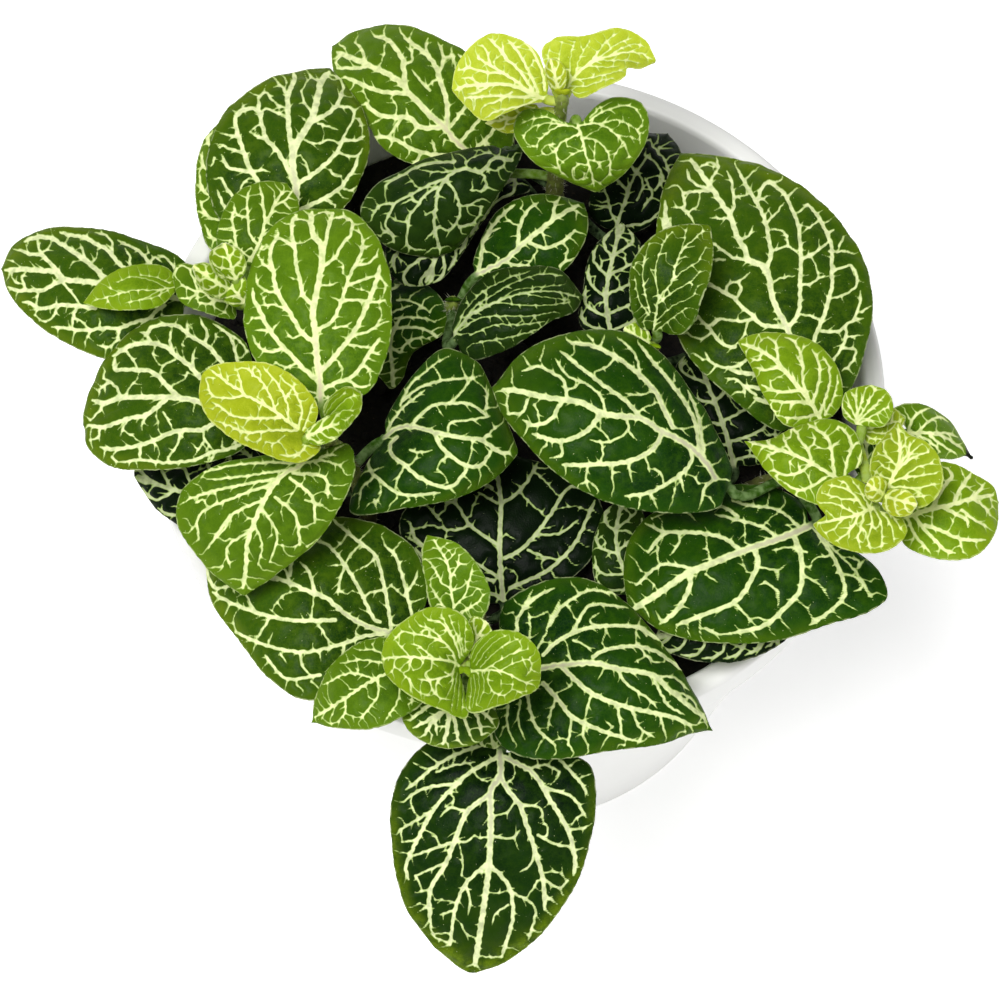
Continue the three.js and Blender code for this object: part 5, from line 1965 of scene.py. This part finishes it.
def add_lump(surface, centre, size, chance):
    """An irregular crumb: a squashed ball of uneven rings and its ends."""
    stretch = chance.uniform(*LUMP_STRETCH, 3) * size
    turn = chance.uniform(0, TURN)
    spin = np.array([
        [math.cos(turn), -math.sin(turn), 0],
        [math.sin(turn), math.cos(turn), 0],
        [0, 0, 1],
    ])
    shape = lambda p: (np.asarray(p) * stretch) @ spin.T + centre
    rings = []
    for polar in LUMP_RINGS:
        angles = -np.arange(LUMP_SIDES) * TURN / LUMP_SIDES + polar
        radius = math.sin(polar) * chance.uniform(*LUMP_UNEVEN, LUMP_SIDES)
        height = np.full(LUMP_SIDES, -math.cos(polar)) * chance.uniform(*LUMP_TILT)
        ring = np.column_stack([radius * np.cos(angles), radius * np.sin(angles), height])
        rings.append(shape(ring[::-1]))
    surface.tube(np.array(rings), {}, shape([[0, 0, -1.0]]), shape([[0, 0, 1.0]]))


def soil_height(points):
    """How far the soil's surface stands above its plain mound at each point."""
    flat = points[..., :2]
    return sum(height * waves(flat / size, seed) for height, size, seed in SOIL_WAVES)


def mound(radius):
    wall = inner_radius(SOIL_TOP)
    return SOIL_TOP + SOIL_MOUND * (1 - np.clip(radius / wall, 0, 1) ** 2)


def make_soil(material):
    surface = Surface()
    bottom = FLOOR + CLEARANCE
    wall_bottom = inner_radius(bottom) - CLEARANCE
    wall_top = inner_radius(SOIL_TOP) - CLEARANCE
    profile = [(0, bottom)]
    profile += [(wall_bottom * k / BOTTOM_RINGS, bottom) for k in range(1, BOTTOM_RINGS)]
    heights = np.linspace(bottom, SOIL_TOP, WALL_RINGS)
    profile += [(inner_radius(z) - CLEARANCE, z) for z in heights]
    profile += [(r, mound(r)) for r in np.linspace(wall_top, SOIL_MIDDLE, TOP_RINGS)[1:]]
    profile += [(0, SOIL_TOP + SOIL_MOUND)]

    def lift(rings):
        radius = np.hypot(rings[..., 0], rings[..., 1])
        rough = smooth(wall_top, wall_top - SOIL_RIM, radius)
        rise = np.zeros(rings.shape)
        rise[..., 2] = soil_height(rings) * ((rings[..., 2] > SOIL_TOP - ON_TOP) * rough)
        return rise

    add_lathe(surface, profile, SOIL_SIDES, lift=lift)
    chance = np.random.default_rng(SEED + 1)
    for _ in range(LUMPS):
        radius = wall_top * LUMP_SPREAD * math.sqrt(chance.uniform())
        angle = chance.uniform(0, TURN)
        at = np.array([radius * math.cos(angle), radius * math.sin(angle), 0.0])
        size = LUMP_LEAST + LUMP_MORE * chance.uniform() ** 3
        if radius + size > wall_top - LUMP_GAP:
            continue
        at[2] = mound(radius) + soil_height(at) + LUMP_LIFT * size
        add_lump(surface, at, size, chance)
    return surface.make("soil_finish", [material])


# ---- Materials ------------------------------------------------------------------------------------
# Colours are from 0 to 255, and the sizes of grains and bumps are in millimetres.
POT_WHITE, POT_CLOUD, POT_DUST = (228, 228, 225), (234, 234, 231), (206, 200, 188)
SOIL_DARK, SOIL_LIGHT, SOIL_FLECK, SOIL_DAMP = (12, 11, 10), (34, 28, 22), (62, 50, 36), (15, 13, 12)
STEM_OLD, STEM_YOUNG, STEM_FRECKLE, STEM_HAIR = (76, 72, 40), (132, 150, 60), (70, 60, 38), (214, 214, 190)
VEIN_FRINGE, VEIN_BELOW, DRIED = (120, 168, 30), (206, 214, 166), (22, 26, 14)
FLOOR_WHITE, FLOOR_CLOUD = (246, 246, 246), (250, 250, 250)
FULL_WHITE = (1, 1, 1, 1)

# Each tone of leaf has seven colours: the blade's at its base, middle and tip, its lighter mottle,
# the veins', their centre line's, and the underside's.
TONE_PARTS = ("base", "middle", "tip", "mottle", "vein", "core", "below")
# Painted shade: deep and shade are darker copies of the leaf tones, with greyer veins, for leaves
# others. In every tone the blade's darker base and lighter tip are painted shade and painted light.
# that lie under others, and night is much darker at its base, where the hanging leaf lies under
TONE_TABLE = """
deep      5,14,5      7,19,5      14,31,6     11,26,6     190,200,150  168,166,138  82,102,66
shade     12,30,12    26,48,10    42,66,11    36,58,11    196,208,154  172,170,140  90,112,70
night     2,16,7      22,50,7     92,116,14   34,60,8     232,240,184  190,186,160  104,130,80
dark      9,38,10     28,64,7     66,96,10    46,80,8     230,240,176  190,182,160  112,138,84
olive     20,48,10    50,82,9     90,114,16   70,98,13    238,246,186  204,200,170  120,146,84
mid       50,82,12    72,105,13   90,121,17   88,121,18   238,246,178  214,204,170  130,156,84
bright    58,94,13    80,115,15   97,129,18   98,133,22   241,248,182  222,210,176  138,164,84
lime      84,118,14   106,140,16  124,152,20  126,157,26  242,248,180  226,232,168  150,174,88
yellow    130,150,20  156,172,26  162,176,30  172,186,44  246,250,176  236,242,164  168,186,92
fresh     112,136,20  134,158,26  146,166,30  154,174,40  245,250,178  232,238,166  158,180,90
two_tone  10,40,12    44,74,11    104,132,18  60,90,13    240,246,188  220,220,176  130,156,84
pale      150,170,30  172,190,40  176,192,44  190,205,66  247,251,182  238,244,170  186,200,104
"""
TONES = {
    name: dict(zip(TONE_PARTS, read_points(colors)))
    for name, *colors in map(str.split, TONE_TABLE.strip().splitlines())
}

# How strongly the floor glows at each distance in metres from the pot, as a lit white table does.
GLOWS = [(0.22, 0.45), (0.75, 0.22), (2.6, 0.68)]


def linear(color):
    """A colour in 0 to 255 as screens show it, as the renderer's light values."""
    part = [c / 255 for c in color]
    return tuple(c / 12.92 if c <= 0.04045 else ((c + 0.055) / 1.055) ** 2.4 for c in part) + (1.0,)


class Graph:
    """Makes a material's nodes and joins them."""

    def __init__(self, name):
        self.material = bpy.data.materials.new(name)
        self.material.use_nodes = True
        self.tree = self.material.node_tree
        self.tree.nodes.clear()
        self.shader = self.tree.nodes.new("ShaderNodeBsdfPrincipled")
        output = self.tree.nodes.new("ShaderNodeOutputMaterial")
        self.tree.links.new(self.shader.outputs[0], output.inputs["Surface"])
        self.place = self.tree.nodes.new("ShaderNodeTexCoord").outputs["Object"]

    def put(self, socket, value):
        if isinstance(value, bpy.types.NodeSocket):
            self.tree.links.new(value, socket)
        else:
            socket.default_value = value

    def attribute(self, name):
        node = self.tree.nodes.new("ShaderNodeAttribute")
        node.attribute_name = name
        return node.outputs["Fac"]

    def noise(self, size, detail, roughness=0.5):
        """A noise from 0 to 1 whose grains are about size across."""
        node = self.tree.nodes.new("ShaderNodeTexNoise")
        self.put(node.inputs["Vector"], self.place)
        node.inputs["Scale"].default_value = 1 / (size * MM)
        node.inputs["Detail"].default_value = detail
        node.inputs["Roughness"].default_value = roughness
        return node.outputs["Fac"]

    def cells(self, size, feature="F1"):
        node = self.tree.nodes.new("ShaderNodeTexVoronoi")
        node.feature = feature
        self.put(node.inputs["Vector"], self.place)
        node.inputs["Scale"].default_value = 1 / (size * MM)
        return node.outputs["Distance"]

    def math(self, operation, *numbers):
        node = self.tree.nodes.new("ShaderNodeMath")
        node.operation = operation
        for socket, value in zip(node.inputs, numbers):
            self.put(socket, value)
        return node.outputs[0]

    def times(self, value, by):
        return self.math("MULTIPLY", value, by)

    def ranged(self, value, least, span):
        """least where value is 0, and span more where it is 1."""
        return self.math("MULTIPLY_ADD", value, span, least)

    def step(self, value, start, end, top=1.0):
        """Smoothly from 0 where value is start to top where it is end."""
        node = self.tree.nodes.new("ShaderNodeMapRange")
        node.interpolation_type = "SMOOTHSTEP"
        for socket, number in zip(node.inputs, (value, start, end, 0.0, top)):
            self.put(socket, number)
        return node.outputs[0]

    def mix(self, share, a, b):
        node = self.tree.nodes.new("ShaderNodeMix")
        node.data_type = "RGBA"
        self.put(node.inputs[0], share)
        for socket, color in ((node.inputs[6], a), (node.inputs[7], b)):
            self.put(socket, color if isinstance(color, bpy.types.NodeSocket) else linear(color))
        return node.outputs[2]

    def bump(self, height, distance, strength):
        node = self.tree.nodes.new("ShaderNodeBump")
        node.inputs["Strength"].default_value = strength
        node.inputs["Distance"].default_value = distance * MM
        self.put(node.inputs["Height"], height)
        self.put(self.shader.inputs["Normal"], node.outputs[0])

    def finish(self, color, roughness, specular):
        self.put(self.shader.inputs["Base Color"], color)
        self.put(self.shader.inputs["Roughness"], roughness)
        self.shader.inputs["Specular IOR Level"].default_value = specular
        return self.material


def pot_material():
    g = Graph("white_gloss_plastic")
    color = g.mix(g.noise(size=30, detail=3), POT_WHITE, POT_CLOUD)
    dust = g.step(g.noise(size=0.9, detail=4), start=0.66, end=0.8)
    color = g.mix(g.times(dust, by=0.06), color, POT_DUST)
    g.bump(g.noise(size=1.6, detail=2), distance=0.02, strength=0.25)
    roughness = g.ranged(g.noise(size=7, detail=3), least=0.34, span=0.14)
    return g.finish(color, roughness, specular=0.35)


def soil_material():
    g = Graph("dark_potting_soil")
    grain = g.noise(size=1.1, detail=6, roughness=0.7)
    color = g.mix(g.step(grain, start=0.35, end=0.7), SOIL_DARK, SOIL_LIGHT)
    flecks = g.step(g.noise(size=0.7, detail=3), start=0.66, end=0.74)
    color = g.mix(flecks, color, SOIL_FLECK)
    damp = g.step(g.noise(size=6, detail=3), start=0.4, end=0.65, top=0.5)
    color = g.mix(damp, color, SOIL_DAMP)
    g.bump(g.noise(size=0.5, detail=5, roughness=0.7), distance=0.25, strength=0.9)
    return g.finish(color, g.ranged(grain, least=0.8, span=0.15), specular=0.3)


def stem_material():
    g = Graph("hairy_green_stem")
    along = g.attribute("along")
    color = g.mix(g.step(along, start=0.15, end=0.95), STEM_OLD, STEM_YOUNG)
    freckles = g.step(g.noise(size=1.2, detail=4, roughness=0.6), start=0.42, end=0.68, top=0.6)
    color = g.mix(freckles, color, STEM_FRECKLE)
    color = g.mix(g.step(along, start=1.4, end=1.6), color, STEM_HAIR)
    g.bump(g.noise(size=0.35, detail=3), distance=0.06, strength=0.5)
    return g.finish(color, g.ranged(g.noise(size=0.8, detail=2), least=0.45, span=0.2), specular=0.4)


def leaf_blade(g, tone, near, mottle):
    """The colour between the veins: painted shade and light by place, mottled, netted, and flecked with
    the veins' colour.
    """
    # Painted shade and painted light: the blade is darker towards its base, where leaves lie under
    # others, and lighter towards its tip and its margins.
    drift = g.ranged(g.noise(size=9, detail=3), least=-0.3, span=0.6)
    outer = g.step(g.attribute("margin"), start=3.6, end=0.2, top=0.4)
    way = g.math("ADD", g.ranged(g.attribute("along"), least=outer, span=0.75), drift)
    blade = g.mix(g.step(way, start=0.05, end=0.55), tone["base"], tone["middle"])
    blade = g.mix(g.step(way, start=0.5, end=1.0), blade, tone["tip"])
    blade = g.mix(mottle, blade, tone["mottle"])
    net = g.step(g.cells(size=0.62, feature="DISTANCE_TO_EDGE"), start=0.10, end=0.0, top=0.32)
    blade = g.mix(net, blade, tone["mottle"])
    blade = g.mix(g.times(near, by=0.22), blade, tone["mottle"])
    specks = g.step(g.noise(size=0.33, detail=2, roughness=0.6), start=0.735, end=0.775, top=0.8)
    return g.mix(specks, blade, tone["vein"])


def leaf_vein_color(g, tone, edge):
    """The colour of the veins: uneven, greener at their sides, darker in the midrib's middle."""
    uneven = g.step(g.noise(size=1.3, detail=3), start=0.35, end=0.75, top=0.4)
    pale = g.mix(uneven, tone["vein"], tone["mottle"])
    fringe = [0.5 * (v + m) for v, m in zip(tone["vein"], VEIN_FRINGE)]
    pale = g.mix(g.step(edge, start=-0.11, end=0.01, top=0.8), pale, fringe)
    inner = g.step(g.attribute("trunk"), start=-0.12, end=-0.42)
    core = g.times(inner, g.step(g.attribute("along"), start=0.75, end=0.1))
    return g.mix(g.times(core, by=0.8), pale, tone["core"])


def leaf_material(tone_name):
    tone = TONES[tone_name]
    g = Graph("nerve_leaf_" + tone_name)
    under = g.attribute("under")
    ragged = g.ranged(g.noise(size=0.5, detail=4, roughness=0.65), least=-0.04, span=0.08)
    edge = g.math("ADD", g.attribute("vein"), ragged)
    veined = g.step(edge, start=0.075, end=-0.045)
    near = g.step(edge, start=0.55, end=0.05)
    mottle = g.step(g.noise(size=1.7, detail=5, roughness=0.65), start=0.40, end=0.72, top=0.75)
    upper = g.mix(veined, leaf_blade(g, tone, near, mottle), leaf_vein_color(g, tone, edge))
    worn = g.step(g.noise(size=1.4, detail=3), start=0.42, end=0.6)
    rim = g.times(g.step(g.attribute("margin"), start=0.22, end=0.06), worn)
    upper = g.mix(g.times(rim, by=0.35), upper, tone["vein"])

    lower = g.mix(g.times(near, by=0.75), g.mix(mottle, tone["below"], tone["mottle"]), VEIN_BELOW)
    uneven = g.step(g.noise(size=1.2, detail=3), start=0.3, end=0.7)
    stalk = g.mix(uneven, tone["below"], tone["mottle"])
    color = g.mix(g.attribute("blade"), stalk, g.mix(under, upper, lower))
    color = g.mix(g.attribute("dried"), color, DRIED)

    grain = g.noise(size=0.9, detail=4, roughness=0.6)
    g.bump(g.ranged(grain, least=g.cells(size=0.23), span=1.2), distance=0.055, strength=0.55)
    gloss = g.ranged(g.noise(size=1.6, detail=3), least=0.30, span=0.16)
    roughness = g.ranged(g.math("MAXIMUM", veined, under), least=gloss, span=0.18)
    return g.finish(color, roughness, specular=0.045)


def floor_material():
    g = Graph("pale_studio_floor")
    color = g.mix(g.noise(size=400, detail=2), FLOOR_WHITE, FLOOR_CLOUD)
    g.shader.inputs["Emission Color"].default_value = FULL_WHITE
    distance = g.tree.nodes.new("ShaderNodeVectorMath")
    distance.operation = "LENGTH"
    g.put(distance.inputs[0], g.place)
    glow = GLOWS[0][1]
    for (start, before), (end, after) in zip(GLOWS[:-1], GLOWS[1:]):
        glow = g.math("ADD", g.step(distance.outputs["Value"], start, end, after - before), glow)
    g.put(g.shader.inputs["Emission Strength"], glow)
    roughness = g.ranged(g.noise(size=60, detail=2), least=0.85, span=0.05)
    return g.finish(color, roughness, specular=0.1)


def put_in(piece, node):
    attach(piece, "root")
    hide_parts(node)


leaf_materials = {tone: leaf_material(tone) for tone in TONES}
put_in(make_pot(pot_material()), "pot")
put_in(make_soil(soil_material()), "soil")
stem_skin = stem_material()
for name, stem in STEMS.items():
    surface = Surface()
    add_stem(surface, stem, sorted({leaf["node"] for leaf in LEAVES.values() if leaf["stem"] == name}))
    add_scales(surface, stem)
    tones = [stem["tone"]]
    for tiny_name, leaf in TINY_LEAVES.items():
        if leaf["stem"] != name:
            continue
        if leaf["tone"] not in tones:
            tones.append(leaf["tone"])
        slot = 1 + tones.index(leaf["tone"])
        add_leaf(surface, tiny_name, leaf, TINY_LEAF_SINK, slot)
    skins = [stem_skin] + [leaf_materials[tone] for tone in tones]
    put_in(surface.make(name + "_skin", skins), name)
for name, leaf in LEAVES.items():
    surface = Surface()
    add_leaf(surface, name, leaf, LEAF_SINK)
    piece = surface.make(name + "_blade", [leaf_materials[leaf["tone"]]], keep_uv=True)
    put_in(piece, name)

# ---- The studio -----------------------------------------------------------------------------------
# A round floor sweeps up into a backdrop, through these points (radius, height) in metres.
SWEEP = [
    (0.0, 0.0), (0.5, 0.0), (1.0, 0.0), (2.0, 0.0), (3.5, 0.0), (4.6, 0.03), (5.2, 0.16), (5.6, 0.4),
    (5.85, 0.8), (6.0, 1.3),
]
SWEEP_SIDES = 96
SENSOR = 36.0  # in millimetres, as a camera's lens is
NEAREST = 0.01
LIGHT_AIM = (0, 0, 0.08)
LIGHTS = {
    "key": {"at": (-0.22, -0.22, 1.1), "size": 0.5, "power": 11.5},
    "fill": {"at": (0.7, -0.6, 0.8), "size": 0.8, "power": 1.6},
}
WORLD_STRENGTH = 0.15


def add_floor():
    angles = np.arange(SWEEP_SIDES) * TURN / SWEEP_SIDES
    points = [(0.0, 0.0, 0.0)]
    for radius, height in SWEEP[1:]:
        points += [(radius * math.cos(a), radius * math.sin(a), height) for a in angles]
    faces = [(0, 1 + k, 1 + (k + 1) % SWEEP_SIDES) for k in range(SWEEP_SIDES)]
    for row in range(len(SWEEP) - 2):
        first = 1 + row * SWEEP_SIDES
        for k in range(SWEEP_SIDES):
            n = (k + 1) % SWEEP_SIDES
            faces.append((first + k, first + SWEEP_SIDES + k, first + SWEEP_SIDES + n, first + n))
    mesh = bpy.data.meshes.new("studio_floor")
    mesh.from_pydata(points, [], faces)
    mesh.polygons.foreach_set("use_smooth", [True] * len(faces))
    mesh.materials.append(floor_material())
    floor = bpy.data.objects.new("studio_floor", mesh)
    bpy.context.scene.collection.objects.link(floor)
    floor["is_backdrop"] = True


def add_light(name, at, size, power):
    light = bpy.data.lights.new(name, "AREA")
    light.shape, light.size, light.energy = "DISK", size, power
    lamp = bpy.data.objects.new(name, light)
    lamp.location = at
    lamp.rotation_euler = (Vector(LIGHT_AIM) - Vector(at)).to_track_quat("-Z", "Y").to_euler()
    bpy.context.scene.collection.objects.link(lamp)


def add_camera():
    data = bpy.data.cameras.new("camera")
    data.sensor_width = SENSOR
    data.lens = FOCAL / VIEW_SIZE * data.sensor_width
    data.clip_start = NEAREST
    camera = bpy.data.objects.new("camera", data)
    camera.location = EYE * MM
    camera.rotation_euler = (math.pi / 2 - PITCH, 0, 0)
    bpy.context.scene.collection.objects.link(camera)
    bpy.context.scene.camera = camera


add_floor()
add_camera()
for name, light in LIGHTS.items():
    add_light(name, **light)
world = bpy.data.worlds.new("studio")
world.use_nodes = True
background = world.node_tree.nodes["Background"]
background.inputs["Color"].default_value = FULL_WHITE
background.inputs["Strength"].default_value = WORLD_STRENGTH
scene = bpy.context.scene
scene.world = world
scene.view_settings.view_transform = "Standard"
scene.view_settings.look = "None"

boxes = {"cad": CAD_BOX, "visual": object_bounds()}
{k: [list(map(float, corner)) for corner in box] for k, box in boxes.items()}
